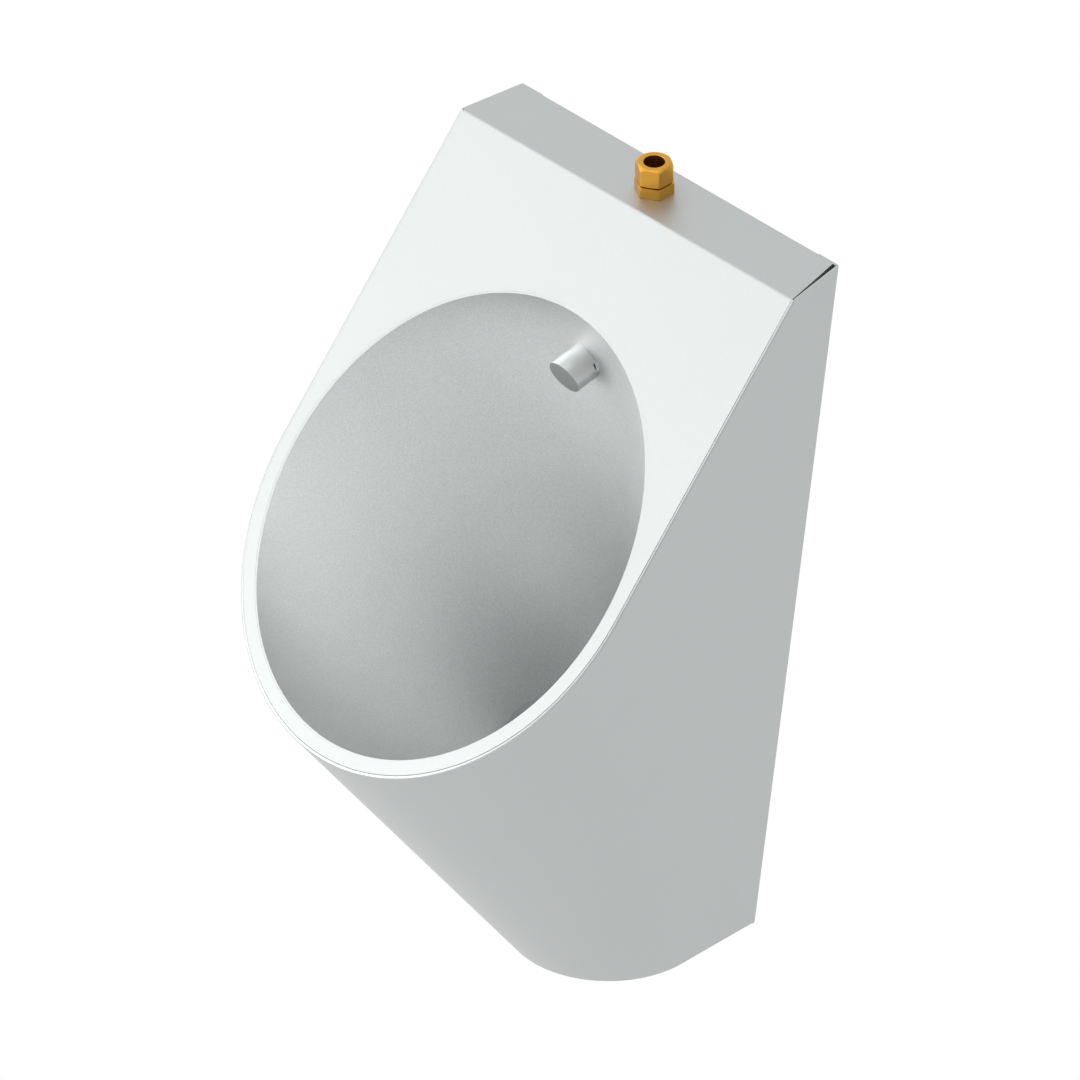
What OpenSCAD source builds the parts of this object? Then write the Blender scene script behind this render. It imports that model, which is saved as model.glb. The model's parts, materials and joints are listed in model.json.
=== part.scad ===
// Wall hung stainless steel urinal, millimetres, +Z up.
// +Y points into the wall, and the wall's face is the plane Y = 0.
// The origin is midway between the two wall bracket screws, on the wall's face.

/* [Body] */
// Height of the body from its open base to its flat top
body_h = 600; // [570:1:630]
// Width of the front panel
front_w = 327.4; // [315:0.1:340]
// Width of the body at the wall, at the top
back_w = 311; // [300:0.5:314]
// Depth of the body from the wall to the lip
body_d = 352; // [335:1:370]
// Depth of the flat top
top_d = 52.5; // [50:0.5:58]
// Height of the lip above the base
lip_h = 278; // [265:1:290]
// Length of the lip's rounded end, along the slope
lip_curve = 185; // [180:1:195]
// Width of the open base
base_w = 144.5; // [140:0.5:155]
// Depth of the open base
base_d = 143.2; // [141:0.1:155]

/* [Sheet metal] */
// Thickness of the body's sheet
sheet_t = 1.5; // [1.2:0.1:2]
// Thickness of the front panel's sheet
panel_t = 1.5; // [1.2:0.1:2]
// Outer radius of the bend between the front and the top
bend_r = 3; // [2.5:0.1:4]
// Width of the shell's flanges against the wall
wall_flange_w = 20; // [18:0.5:22]
// Width of the shell's flange round the open base
base_flange_w = 8; // [5:0.5:9]
// Depth of the lip folded down at the back of the top
top_lip_h = 18; // [12:1:22]

/* [Bowl] */
// Width of the rim beside the opening
side_rim = 11.5; // [10.5:0.1:16]
// Width of the rim at the lip
lip_rim = 12.3; // [11:0.1:16]
// Thickness of the bowl's sheet
bowl_t = 1.2; // [1:0.1:1.5]
// Bore of the sump under the bowl
sump_bore = 110; // [104:1:114]
// Height of the sump's rim above the base
sump_h = 171; // [168:1:176]
// Depth of the sump below its rim
sump_depth = 20; // [18:0.5:22]

/* [Wall bracket] */
// Distance of the bracket's screws below the flat top
fix_drop = 100; // [96:1:108]
// Distance between the two bracket screws
fix_spacing = 160; // [150:1:170]
// Hole for a bracket screw
fix_hole_d = 9; // [8.5:0.1:10]
// Clearance between the bracket's plate and the shell's flanges
bracket_gap = 2.2; // [1:0.1:5]
// Height of the bracket's plate
bracket_h = 50; // [44:1:54]
// Thickness of the bracket
bracket_t = 2.5; // [2:0.1:3]
// Width of one hook
hook_w = 40; // [34:1:46]
// Distance of a hook from the end of the plate
hook_inset = 6; // [4:0.5:10]
// Reach of a hook out of the wall
hook_reach = 11; // [10.5:0.1:12]
// Height of a hook's upturned edge
hook_up = 14; // [12:0.5:15]
// Thickness of the hanger rail
rail_t = 2; // [1.6:0.1:2.2]
// Height of the hanger rail
rail_h = 30; // [26:1:32]
// Clearance between the hanger rail and the shell's sides
rail_gap = 1.6; // [1:0.1:3]
// Height of the lower screw holes above the base
base_hole_h = 40; // [36:1:46]
// Distance of a lower screw hole from the shell's side
base_hole_inset = 11.8; // [10:0.1:13]
// Hole for a lower screw
base_hole_d = 7; // [6.5:0.1:7.5]

/* [Water inlet] */
// Outer diameter of the supply pipe
pipe_d = 15; // [14.8:0.1:15.2]
// Wall of the compression nut over its thread, at a flat
nut_wall = 2.15; // [2:0.05:2.5]
// Height of the compression nut above its olive
nut_cap_h = 2.9; // [2.5:0.1:4]
// Step from the nut's flats to the inlet body's flats
hex_ledge = 0.6; // [0.3:0.1:1.2]
// Height of the inlet body's hexagon
inlet_hex_h = 8.7; // [8:0.1:9.5]
// Wall of the inlet body's pipe socket, with its thread
socket_wall = 2.5; // [2.3:0.1:2.9]
// Length of the upper thread
inlet_thread_h = 6.8; // [6.4:0.1:7.2]
// Length of the threaded shank below the top face
shank_l = 30; // [28:0.5:32]
// Wall of the locknut at a flat
locknut_wall = 5; // [4:0.5:6]
// Thickness of the locknut
locknut_h = 7; // [6:0.5:8]
// Thickness of the fibre washer under the top
inlet_washer_h = 2; // [1.5:0.1:2.5]
// Wall of the flush pipe
pipe_wall = 1; // [0.8:0.1:1.2]
// Bend radius of the flush pipe
flush_bend_r = 24; // [22:0.5:26]

/* [Spray head] */
// Distance of the spray head below the flat top
spray_drop = 111.7; // [110:0.1:118]
// Downward tilt of the spray head in degrees
spray_tilt = 9; // [7:0.5:11]
// Diameter of the spray head
spray_d = 27; // [25:0.5:28]
// Reach of the spray head into the bowl
spray_l = 26.6; // [24:0.2:28]
// Slant of the spray head's end face in degrees
spray_cut = 12; // [8:0.5:15]
// Diameter of the spray head's collar
spray_collar_d = 28.8; // [28.4:0.2:31]
// Thickness of the spray head's collar
spray_collar_h = 1.2; // [1:0.1:2]
// Step from the flush pipe to the spray head's threaded tail
tail_ledge = 0.8; // [0.7:0.05:1]
// Length of the spray head's tail behind the bowl
spray_tail_l = 26; // [25:0.5:28]
// Bore of the spray head
spray_bore = 9; // [8:0.5:10]
// Width of the spray slots
spray_slot_w = 2.2; // [1.8:0.1:2.6]
// Height of the spray slots
spray_slot_h = 12; // [10:0.5:14]

/* [Waste] */
// Outer diameter of the waste tail
waste_tail_d = 47; // [46.5:0.1:47.8]
// Wall of the waste tail
waste_wall = 3; // [2.5:0.5:3.5]
// Diameter of the waste flange
waste_flange_d = 68; // [66:0.5:72]
// Thickness of the waste flange
waste_flange_h = 3.6; // [3.4:0.1:4.2]
// Length of the waste tail below its back nut
tail_reach = 22.8; // [22.3:0.1:23.8]
// Width of the flange outside the strainer
flange_rim = 6; // [5:0.5:7]
// Thickness of the strainer's disc
strainer_h = 2; // [1.6:0.1:2.2]
// Diameter of the strainer's holes
strainer_hole_d = 4; // [3:0.1:4.2]
// Depth of the strainer's skirt
skirt_h = 8; // [7:0.5:10]

/* [Bottle trap] */
// Diameter of the trap's chamber
trap_d = 66; // [64:0.5:67]
// Wall of the trap's plastic parts
trap_wall = 2.4; // [2:0.1:2.6]
// Length of the trap's chamber
chamber_l = 65.1; // [63:0.1:66]
// Outer diameter of the outlet pipe
outlet_d = 40; // [39.6:0.1:40.2]
// Length of the outlet pipe behind the wall's face
outlet_reach = 40; // [30:1:60]
// Rise of the bead that stops the outlet pipe at the wall
outlet_stop_rise = 2; // [1.5:0.5:4]
// Width of that bead
outlet_stop_w = 3; // [2.5:0.5:5]
// Depth of the trap cup below the chamber
cup_drop = 36; // [34:0.5:38]
// Clearance between the trap cup and the flange round the base
cup_gap = 3.5; // [2:0.5:5]
// Length of the thread between the cup and the chamber
cup_thread_l = 14; // [13:0.5:15]
// Height of the trap's nuts
trap_nut_h = 17; // [16:0.5:18]
// Bore of the dip tube
dip_bore = 28; // [26:0.5:30]

/* [Earth tag] */
// Height of the earth tag above the base
earth_h = 300; // [260:1:340]
// Diameter of the earth bolt
earth_bolt_d = 6; // [5:0.5:6.5]

/* [Fits] */
// Clearance between parts that move past each other
gap = 0.3; // [0.25:0.01:0.35]
// Clearance round a pipe in its socket
slip = 0.05; // [0.04:0.01:0.08]
// Clearance of a bolt or tail in its hole
free_fit = 0.3; // [0.2:0.01:0.4]

/* [Hidden] */
$fn = 64;
over = 1;
far = 2*body_h;
z_top = fix_drop;
z_base = z_top - body_h;
half_turn = 180;

// The front panel's slope
slope_run = body_d - top_d;
slope_rise = body_h - lip_h;
slope_l = norm([slope_run, slope_rise]);
slope_tilt = atan2(slope_run, slope_rise);
bend_turn = half_turn/2 - slope_tilt;
bend_k = bend_r*tan(bend_turn/2);
lip_mid = slope_l - lip_curve;
open_w = front_w - 2*side_rim;
open_l = 2*(lip_curve - lip_rim);
outline_steps = 48;
bend_steps = 6;

// The open base, a straight part and a half circle
base_r = base_w/2;
base_mid = base_d - base_r;
back_spread = (back_w - base_w)/2/body_h;
trap_r = trap_d/2;
cup_r = trap_r + gap + trap_wall;
rib_r = 1;
drain_y = base_d - base_flange_w - cup_gap - rib_r - cup_r;

// The bowl's two profiles and its half width, as cubic curves
bowl_rings = 14;
bowl_steps = 60;
bowl_end_r = sump_bore/2 + bowl_t;
rear_first_share = [0.346, 0.106];
rear_second_share = [0.346, 0.405];
fore_first_share = [0.22, 0.485];
fore_second_share = [0.662, 0.921];
half_first_share = 0.228;
half_second_share = 0.588;
sump_fillet = 4*bowl_t;
sump_floor = sump_h - sump_depth;

// The hooks and the hanger rail
bracket_w = 2*(window_half(-z_base - bracket_h/2) - bracket_gap);
hook_spacing = bracket_w - hook_w - 2*hook_inset;
hook_top = bracket_h/2 + hook_up;
rail_low = hook_top + rail_t - rail_h;
rail_w = 2*(back_half(rail_low - z_base) - sheet_t - rail_gap);
base_hole_spacing = 2*(back_half(base_hole_h) - base_hole_inset);
hook_gap = hook_reach - bracket_t;
rail_back = hook_gap/2 - rail_t/2;
rail_front = hook_reach + rail_t/2 + rail_t;
rail_lip_h = hook_up - bracket_t/2;
rail_foot_w = (rail_w - bracket_w)/2 - 3*rail_t;

// The water inlet
inlet_y = top_d/2;
socket_r = pipe_d/2 + slip;
shank_socket_r = pipe_d/2 + free_fit;
inlet_thread_d = pipe_d + 2*socket_wall;
inlet_r = inlet_thread_d/2;
nut_af = inlet_thread_d + 2*nut_wall;
inlet_af = nut_af + 2*hex_ledge;
locknut_af = inlet_thread_d + 2*locknut_wall;
flush_bore = pipe_d - 2*pipe_wall;
spigot_top = inlet_hex_h + inlet_thread_h;
nut_low = inlet_hex_h + 2*gap;
olive_h = 5;
olive_wall = 1.4;
olive_low = spigot_top + gap;
olive_top = olive_low + olive_h;
nut_h = olive_top + gap + nut_cap_h - nut_low;
socket_l = inlet_thread_h + inlet_hex_h/2;
shank_socket_l = shank_l*0.4;
bonnet_share = 0.62;
bonnet_h_share = 0.16;

// The spray head, placed on the bowl's rear wall
spray_r = spray_d/2;
tail_r = pipe_d/2 + tail_ledge;
seat_h = 2.2;
seat_back = 2;
seat_r = spray_collar_d/2 + seat_back;
spray_gasket_h = 1;
backnut_h = 6;
union_h = 14;
union_start = spray_tail_l - union_h/2;
spray_nut_wall = 3.7;
spray_af = 2*(tail_r + spray_nut_wall);
flush_sides = 24;
flush_steps = 8;

// The waste and the strainer
waste_r = waste_tail_d/2;
waste_bore = waste_tail_d - 2*waste_wall;
seal_h = 1.5;
gasket_h = 3;
gasket_w = 9;
waste_nut_h = 10;
tail_low = sump_floor - bowl_t - gasket_h - waste_nut_h - tail_reach;
waste_l = sump_floor + seal_h - tail_low;
strainer_d = waste_flange_d - 2*flange_rim;
waste_nut_wall = 6.5;
waste_nut_af = waste_tail_d + 2*waste_nut_wall;
seat_depth = strainer_h + gap;
hole_rings = [1, 2, 3];
hole_edge = 1.1;
skirt_r = waste_bore/2 - 2*gap;
hole_pitch = (skirt_r - bowl_t - hole_edge - strainer_hole_d/2)/len(hole_rings);
knob_h = 5;
knob_r = strainer_hole_d*0.6;

// The bottle trap
waste_stop_h = 4.9;
trap_top = tail_low - waste_stop_h;
outlet_h = trap_top - gap - 2*trap_wall - outlet_d/2;
trap_low_h = trap_top - chamber_l;
cup_low_h = trap_low_h - cup_drop;
boss_r = waste_r + free_fit + trap_wall + gap;
boss_top = tail_low + trap_nut_h*0.65;
washer_h = 3;
spout_r = outlet_d/2 + slip + trap_wall;
spout_y = drain_y - trap_r;
spout_l = trap_nut_h;
dip_low = cup_low_h + 4*trap_wall;
cup_top = trap_low_h + cup_thread_l;
cup_seal_h = 1.4;
cup_ledge = trap_low_h - cup_seal_h - 2*gap;
rib_count = 24;

// The earth tag
tag_h = 20;
tag_t = 2;
tag_foot = 12;
tag_reach = 25;
tag_x = -(base_w/2 + back_spread*earth_h - wall_flange_w);
bolt_y = -(sheet_t + tag_reach - tag_h/2);
bolt_af = earth_bolt_d*5/3;
bolt_head_h = earth_bolt_d*2/3;
bolt_l = earth_bolt_d*2;
washer_t = 1.2;

// Shapes and curves that several pieces share

function hex_r(af) = af/2/cos(half_turn/6);

function bezier(p, s) =
    pow(1 - s, 3)*p[0] + 3*pow(1 - s, 2)*s*p[1] + 3*(1 - s)*s*s*p[2] + s*s*s*p[3];

// A point of the front panel's plane: x across, y up the slope from the top edge
function on_slope(p, depth = 0) = [p.x,
    -top_d + p.y*sin(slope_tilt) + depth*cos(slope_tilt),
    z_top + p.y*cos(slope_tilt) - depth*sin(slope_tilt)];

function front_outline(inset = 0) = concat(
    [[front_w/2 - inset, 0], [-front_w/2 + inset, 0]],
    [for (i = [0 : outline_steps]) let (a = half_turn + half_turn*i/outline_steps)
        [(front_w/2 - inset)*cos(a), -lip_mid + (lip_curve - inset)*sin(a)]]);

function base_outline(inset = 0, back = 0) = concat(
    [[base_r - inset, -back], [-base_r + inset, -back]],
    [for (i = [0 : outline_steps]) let (a = half_turn + half_turn*i/outline_steps)
        [(base_r - inset)*cos(a), -base_mid + (base_r - inset)*sin(a)]]);

// Half width of the body and of its window at the wall, at a height above the base
function back_half(h) = base_w/2 + back_spread*h;
function window_half(h) = back_half(h) - wall_flange_w;

top_lip_half = window_half(body_h - top_lip_h) - gap;

function opening_outline() =
    [for (i = [0 : bowl_steps - 1]) let (a = 2*half_turn*i/bowl_steps)
        [open_w/2*cos(a), -lip_mid + open_l/2*sin(a)]];

// The fold between the top and the front, at a depth below the outer face
function fold_path(depth) = concat(
    [[over, z_top - depth]],
    [for (i = [0 : bend_steps]) let (a = half_turn/2 + bend_turn*i/bend_steps)
        [-top_d + bend_k + (bend_r - depth)*cos(a), z_top - bend_r + (bend_r - depth)*sin(a)]],
    [let (p = on_slope([0, -slope_l - lip_curve], depth)) [p.y, p.z]]);

function flipped(list) = [for (i = [len(list) - 1 : -1 : 0]) list[i]];

// Faces of a walled tube, from rings of n points along one side and then along the other
function tube_faces(rows, n) = let (
    side = [for (k = [0 : rows - 2]) for (i = [0 : n - 1]) let (j = (i + 1)%n)
        each [[k*n + i, (k + 1)*n + j, k*n + j], [k*n + i, (k + 1)*n + i, (k + 1)*n + j]]],
    back = [for (f = side) [f[0] + rows*n, f[2] + rows*n, f[1] + rows*n]],
    ends = [for (i = [0 : n - 1]) let (j = (i + 1)%n, low = (rows - 1)*n, skin = rows*n)
        each [[i, j, skin + j], [i, skin + j, skin + i],
            [low + i, low + skin + j, low + j], [low + i, low + skin + i, low + skin + j]]])
    concat(side, back, ends);

module on_panel()
    translate([0, -top_d, z_top]) rotate([bend_turn, 0, 0]) children();

module across(w)
    rotate([90, 0, 90]) translate([0, 0, -w/2]) linear_extrude(w) children();

module ring(r_out, r_in, h)
    difference() {
        cylinder(r = r_out, h = h);
        translate([0, 0, -over]) cylinder(r = r_in, h = h + 2*over);
    }

module hex_ring(af, r_in, h, sides = 6)
    difference() {
        cylinder(r = af/2/cos(half_turn/sides), h = h, $fn = sides);
        translate([0, 0, -over]) cylinder(r = r_in, h = h + 2*over);
    }

module mirrored() {
    children();
    mirror([1, 0, 0]) children();
}

// The body's outer form, or the space inside its walls

module body_form(inset = 0)
    hull() {
        points = concat(
            [for (p = front_outline(inset)) on_slope(p)],
            [for (p = base_outline(inset, inset)) [p.x, p.y, z_base + inset]],
            [for (side = [-1, 1]) [side*(back_w/2 - inset), -inset, z_top]]);
        polyhedron(points, [[for (i = [0 : len(points) - 1]) i]]);
    }

module outside_of_panel()
    across(far) polygon(concat(fold_path(panel_t), [[-far, z_base], [-far, z_top + far],
        [over, z_top + far]]));

module body_shell()
    color([0.74, 0.76, 0.76])
    difference() {
        body_form();
        body_form(sheet_t);
        outside_of_panel();
        // the window between the flanges against the wall
        rotate([90, 0, 0]) translate([0, 0, -over]) linear_extrude(sheet_t + 2*over)
            polygon([[-window_half(wall_flange_w), z_base + wall_flange_w],
                [window_half(wall_flange_w), z_base + wall_flange_w],
                [window_half(body_h), z_top], [-window_half(body_h), z_top]]);
        // the window inside the flange round the base
        translate([0, 0, z_base - over]) linear_extrude(sheet_t + 2*over)
            polygon(base_outline(base_flange_w, base_flange_w));
        mirrored() translate([base_hole_spacing/2, over, z_base + base_hole_h])
            rotate([90, 0, 0]) cylinder(d = base_hole_d, h = sheet_t + 2*over);
    }

module front_panel()
    color([0.93, 0.94, 0.94])
    difference() {
        union() {
            intersection() {
                across(front_w) polygon(concat(fold_path(0), flipped(fold_path(panel_t))));
                union() {
                    on_panel() translate([0, 0, -far/2]) linear_extrude(far)
                        polygon(front_outline());
                    translate([0, 0, z_top - far/2]) linear_extrude(far)
                        polygon([[-back_w/2, 0], [back_w/2, 0], [front_w/2, -top_d],
                            [-front_w/2, -top_d]]);
                }
            }
            translate([-top_lip_half, -sheet_t, z_top - top_lip_h])
                cube([2*top_lip_half, sheet_t, top_lip_h]);
        }
        on_panel() translate([0, 0, -far/2]) linear_extrude(far) polygon(opening_outline());
        translate([0, -inlet_y, z_top - panel_t - over])
            cylinder(r = inlet_r + free_fit, h = panel_t + 2*over);
    }

// The bowl: a smooth wall from the oval opening down to the round sump

function profile(low, first_share, second_share, start, end_y) = let (
    span = [end_y - start.y, low - start.z])
    [[start.y, start.z],
     [start.y + first_share.x*span.x, start.z + first_share.y*span.y],
     [start.y + second_share.x*span.x, start.z + second_share.y*span.y],
     [end_y, low]];

rear_curve = profile(z_base + sump_h - bowl_t/2, rear_first_share, rear_second_share,
    on_slope([0, -lip_mid + open_l/2], panel_t), -drain_y + bowl_end_r);
fore_curve = profile(z_base + sump_h - bowl_t/2, fore_first_share, fore_second_share,
    on_slope([0, -lip_mid - open_l/2], panel_t), -drain_y - bowl_end_r);
half_curve = [for (share = [0, half_first_share, half_second_share, 1])
    open_w/2 + share*(bowl_end_r - open_w/2)];

function wall_point(s, a) = let (rear = bezier(rear_curve, s), fore = bezier(fore_curve, s),
    mid = (rear + fore)/2, arm = (rear - fore)/2)
    [bezier(half_curve, s)*cos(a), mid.x + arm.x*sin(a), mid.y + arm.y*sin(a)];

function unit(v) = v/norm(v);

delta_share = 0.002;
function wall_normal(s, a) = let (turn = 2*half_turn*delta_share,
    along = wall_point(s + delta_share, a) - wall_point(s - delta_share, a),
    round = wall_point(s, a + turn) - wall_point(s, a - turn))
    unit(cross(along, round));

// The rim's outer edge stays in the front panel's plane
function outer_point(s, a) = s > 0
    ? wall_point(s, a) + bowl_t*wall_normal(s, a)
    : wall_point(s, a) + bowl_t*unit([cos(a)/open_w,
        sin(a)*sin(slope_tilt)/open_l, sin(a)*cos(slope_tilt)/open_l]);

module bowl_wall() {
    angles = [for (i = [0 : bowl_steps - 1]) 2*half_turn*i/bowl_steps];
    points = concat(
        [for (k = [0 : bowl_rings]) for (a = angles) wall_point(k/bowl_rings, a)],
        [for (k = [0 : bowl_rings]) for (a = angles) outer_point(k/bowl_rings, a)]);
    polyhedron(points, tube_faces(bowl_rings + 1, bowl_steps));
}

function wall_share(z, low = 0, high = 1, tries = 24) = let (mid = (low + high)/2)
    tries == 0 ? mid
    : bezier(rear_curve, mid).y > z ? wall_share(z, mid, high, tries - 1)
    : wall_share(z, low, mid, tries - 1);

spray_at = bezier(rear_curve, wall_share(z_top - spray_drop));

// Local +Z runs along the spray head, out of the wall into the bowl
module on_spray()
    translate([0, spray_at.x, spray_at.y]) rotate([90 + spray_tilt, 0, 0]) children();

module sump()
    translate([0, -drain_y, z_base])
    rotate_extrude() {
        r = sump_bore/2;
        // wall with its rolled rim
        translate([r, sump_floor + sump_fillet]) square([bowl_t, sump_depth - sump_fillet]);
        translate([r, sump_h - 2*bowl_t]) square([2.5*bowl_t, 2*bowl_t]);
        // rounded corner
        translate([r - sump_fillet, sump_floor + sump_fillet]) intersection() {
            difference() {
                circle(sump_fillet + bowl_t);
                circle(sump_fillet);
            }
            translate([0, -sump_fillet - bowl_t]) square(sump_fillet + bowl_t);
        }
        translate([waste_r + free_fit, sump_floor - bowl_t])
            square([r - sump_fillet - waste_r - free_fit, bowl_t]);
    }

module bowl()
    color([0.66, 0.68, 0.68])
    difference() {
        union() {
            bowl_wall();
            sump();
            on_spray() translate([0, 0, -seat_back]) cylinder(r = seat_r, h = seat_back + seat_h);
        }
        on_spray() translate([0, 0, -seat_back - over])
            cylinder(r = tail_r + free_fit, h = seat_back + seat_h + 2*over);
    }

// The wall bracket and the rail that hangs on it

module wall_bracket()
    color([0.62, 0.64, 0.66])
    difference() {
        union() {
            translate([-bracket_w/2, -bracket_t, -bracket_h/2])
                cube([bracket_w, bracket_t, bracket_h]);
            for (side = [-1, 1]) translate([side*hook_spacing/2 - hook_w/2, 0, 0]) {
                translate([0, -hook_reach, bracket_h/2 - bracket_t])
                    cube([hook_w, hook_reach, bracket_t]);
                translate([0, -hook_reach, bracket_h/2 - bracket_t])
                    cube([hook_w, bracket_t, hook_up + bracket_t]);
            }
        }
        mirrored() translate([fix_spacing/2, over, 0])
            rotate([90, 0, 0]) cylinder(d = fix_hole_d, h = bracket_t + 2*over);
    }

module hanger_rail()
    color([0.66, 0.68, 0.7]) {
        across(rail_w) {
            translate([-rail_front, hook_top]) square([rail_front - rail_back, rail_t]);
            translate([-rail_front, rail_low]) square([rail_t, rail_h]);
            translate([-rail_back - rail_t, hook_top + rail_t - rail_lip_h])
                square([rail_t, rail_lip_h]);
        }
        mirrored() translate([rail_w/2 - rail_foot_w, 0, rail_low]) {
            translate([0, -rail_front, 0]) cube([rail_t, rail_front - sheet_t, rail_h]);
            translate([0, -sheet_t - rail_t, 0]) cube([rail_foot_w, rail_t, rail_h]);
        }
    }

// The earth tag, welded on the left flange, with its bolt along X

module on_tag(x)
    translate([tag_x + x, bolt_y, z_base + earth_h]) rotate([0, -90, 0]) children();

module earth_tag()
    color([0.62, 0.64, 0.66])
    difference() {
        translate([tag_x, -sheet_t, z_base + earth_h - tag_h/2]) {
            translate([-tag_foot, -tag_t, 0]) cube([tag_foot, tag_t, tag_h]);
            translate([-tag_t, -tag_reach, 0]) cube([tag_t, tag_reach, tag_h]);
        }
        on_tag(over) cylinder(r = earth_bolt_d/2 + free_fit, h = tag_t + 2*over);
    }

module earth_bolt()
    color([0.8, 0.78, 0.7]) {
        on_tag(washer_t + bolt_head_h) cylinder(r = hex_r(bolt_af), h = bolt_head_h, $fn = 6);
        on_tag(washer_t) cylinder(d = earth_bolt_d, h = bolt_l + washer_t);
    }

module earth_washers()
    color([0.8, 0.78, 0.7]) {
        on_tag(washer_t) ring(earth_bolt_d, earth_bolt_d/2 + free_fit, washer_t);
        on_tag(-tag_t) ring(earth_bolt_d, earth_bolt_d/2 + free_fit, washer_t);
    }

module earth_nut()
    color([0.8, 0.78, 0.7])
    on_tag(-tag_t - washer_t) hex_ring(bolt_af, earth_bolt_d/2 + slip, earth_bolt_d*0.8);

// The water inlet through the flat top

module on_inlet(h)
    translate([0, -inlet_y, z_top + h]) rotate(30) children();

module inlet_body()
    color([0.8, 0.6, 0.26])
    difference() {
        union() {
            on_inlet(0) cylinder(r = hex_r(inlet_af), h = inlet_hex_h, $fn = 6);
            on_inlet(-shank_l) cylinder(r = inlet_r, h = shank_l + spigot_top);
        }
        on_inlet(spigot_top - socket_l) cylinder(r = socket_r, h = socket_l + over);
        on_inlet(-shank_l - over) cylinder(r = shank_socket_r, h = shank_socket_l + over);
        on_inlet(-shank_l) cylinder(d = flush_bore - 2*gap, h = shank_l + spigot_top);
    }

module inlet_washer()
    color([0.45, 0.2, 0.15])
    on_inlet(-panel_t - inlet_washer_h)
        ring(locknut_af/2 + gap, inlet_r + free_fit, inlet_washer_h);

module inlet_locknut()
    color([0.8, 0.6, 0.26])
    on_inlet(-panel_t - inlet_washer_h - locknut_h)
        hex_ring(locknut_af, inlet_r + slip, locknut_h);

module inlet_olive()
    color([0.85, 0.65, 0.3])
    on_inlet(olive_low) ring(socket_r + olive_wall, socket_r, olive_h);

module inlet_nut()
    color([0.8, 0.6, 0.26])
    difference() {
        bonnet = nut_h*bonnet_h_share;
        union() {
            on_inlet(nut_low) cylinder(r = hex_r(nut_af), h = nut_h - bonnet, $fn = 6);
            on_inlet(nut_low) cylinder(r = hex_r(nut_af)*(1 + bonnet_share)/2, h = nut_h);
        }
        on_inlet(nut_low - over)
            cylinder(r = inlet_r + gap, h = olive_top + gap - nut_low + over);
        on_inlet(nut_low) cylinder(r = socket_r, h = nut_h + over);
    }

// The flush pipe, from the inlet to the spray head's tail

// Stops along its centre line: y, z and how far it has turned from straight down
flush_run = let (corner = spray_at.y + (-inlet_y - spray_at.x)*tan(spray_tilt),
    turn = half_turn/2 - spray_tilt,
    low = corner + flush_bend_r*tan(turn/2),
    end = spray_tail_l + seat_back + gap)
    concat([[-inlet_y, z_top - shank_l + shank_socket_l - gap, 0]],
        [for (i = [0 : flush_steps]) let (a = turn*i/flush_steps)
            [-inlet_y - flush_bend_r*(1 - cos(a)), low - flush_bend_r*sin(a), a]],
        [[spray_at.x + end*cos(spray_tilt), spray_at.y + end*sin(spray_tilt), turn]]);

module flush_pipe()
    color([0.7, 0.72, 0.73]) {
        points = [for (r = [pipe_d/2, flush_bore/2]) for (stop = flush_run)
            for (i = [0 : flush_sides - 1]) let (a = 2*half_turn*i/flush_sides)
                [r*sin(a), stop.x + r*cos(a)*cos(stop.z), stop.y - r*cos(a)*sin(stop.z)]];
        polyhedron(points, tube_faces(len(flush_run), flush_sides));
    }

// The spray head and what holds it

module spray_head()
    color([0.78, 0.8, 0.8])
    on_spray() difference() {
        collar = seat_h + spray_gasket_h;
        union() {
            translate([0, 0, -seat_back - spray_tail_l])
                cylinder(r = tail_r, h = seat_back + spray_tail_l + collar);
            translate([0, 0, collar]) cylinder(d = spray_collar_d, h = spray_collar_h);
            translate([0, 0, collar]) cylinder(r = spray_r, h = spray_l - collar);
        }
        // the slanted end face, which looks down into the bowl
        translate([0, spray_r, spray_l]) rotate([spray_cut, 0, 0])
            translate([-spray_d, -2*spray_d, 0]) cube([2*spray_d, 3*spray_d, spray_d]);
        translate([0, 0, -seat_back - spray_tail_l - over])
            cylinder(d = spray_bore, h = seat_back + spray_tail_l + over + spray_l/2);
        // the slots that throw the water to both sides
        translate([-spray_d, -spray_slot_h/2, collar + spray_collar_h + spray_slot_w/2])
            cube([2*spray_d, spray_slot_h, spray_slot_w]);
    }

module spray_gasket()
    color([0.15, 0.15, 0.15])
    on_spray() translate([0, 0, seat_h])
        ring(spray_collar_d/2 - gap, tail_r + free_fit, spray_gasket_h);

module spray_backnut()
    color([0.8, 0.6, 0.26])
    on_spray() translate([0, 0, -seat_back - backnut_h])
        hex_ring(spray_af, tail_r + slip, backnut_h);

module spray_union_nut()
    color([0.8, 0.6, 0.26])
    on_spray() difference() {
        translate([0, 0, -seat_back - union_start - union_h])
            hex_ring(spray_af, socket_r, union_h);
        translate([0, 0, -seat_back - spray_tail_l - gap])
            cylinder(r = tail_r + slip, h = spray_tail_l);
    }

// The waste through the sump's floor

module on_drain(h)
    translate([0, -drain_y, z_base + h]) children();

flange_low = sump_floor + seal_h;

module waste_body()
    color([0.78, 0.8, 0.8])
    difference() {
        union() {
            on_drain(flange_low) cylinder(d = waste_flange_d, h = waste_flange_h);
            on_drain(flange_low - waste_l) cylinder(r = waste_r, h = waste_l + over);
        }
        on_drain(flange_low - waste_l - over)
            cylinder(d = waste_bore, h = waste_l + waste_flange_h + 2*over);
        on_drain(flange_low + waste_flange_h - seat_depth)
            cylinder(d = strainer_d + 2*gap, h = seat_depth + over);
    }

module waste_seal()
    color([0.15, 0.15, 0.15])
    on_drain(sump_floor) ring(waste_flange_d/2 - gap, waste_r + free_fit, seal_h);

module waste_gasket()
    color([0.15, 0.15, 0.15])
    on_drain(sump_floor - bowl_t - gasket_h)
        ring(waste_r + gasket_w, waste_r + free_fit, gasket_h);

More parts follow.
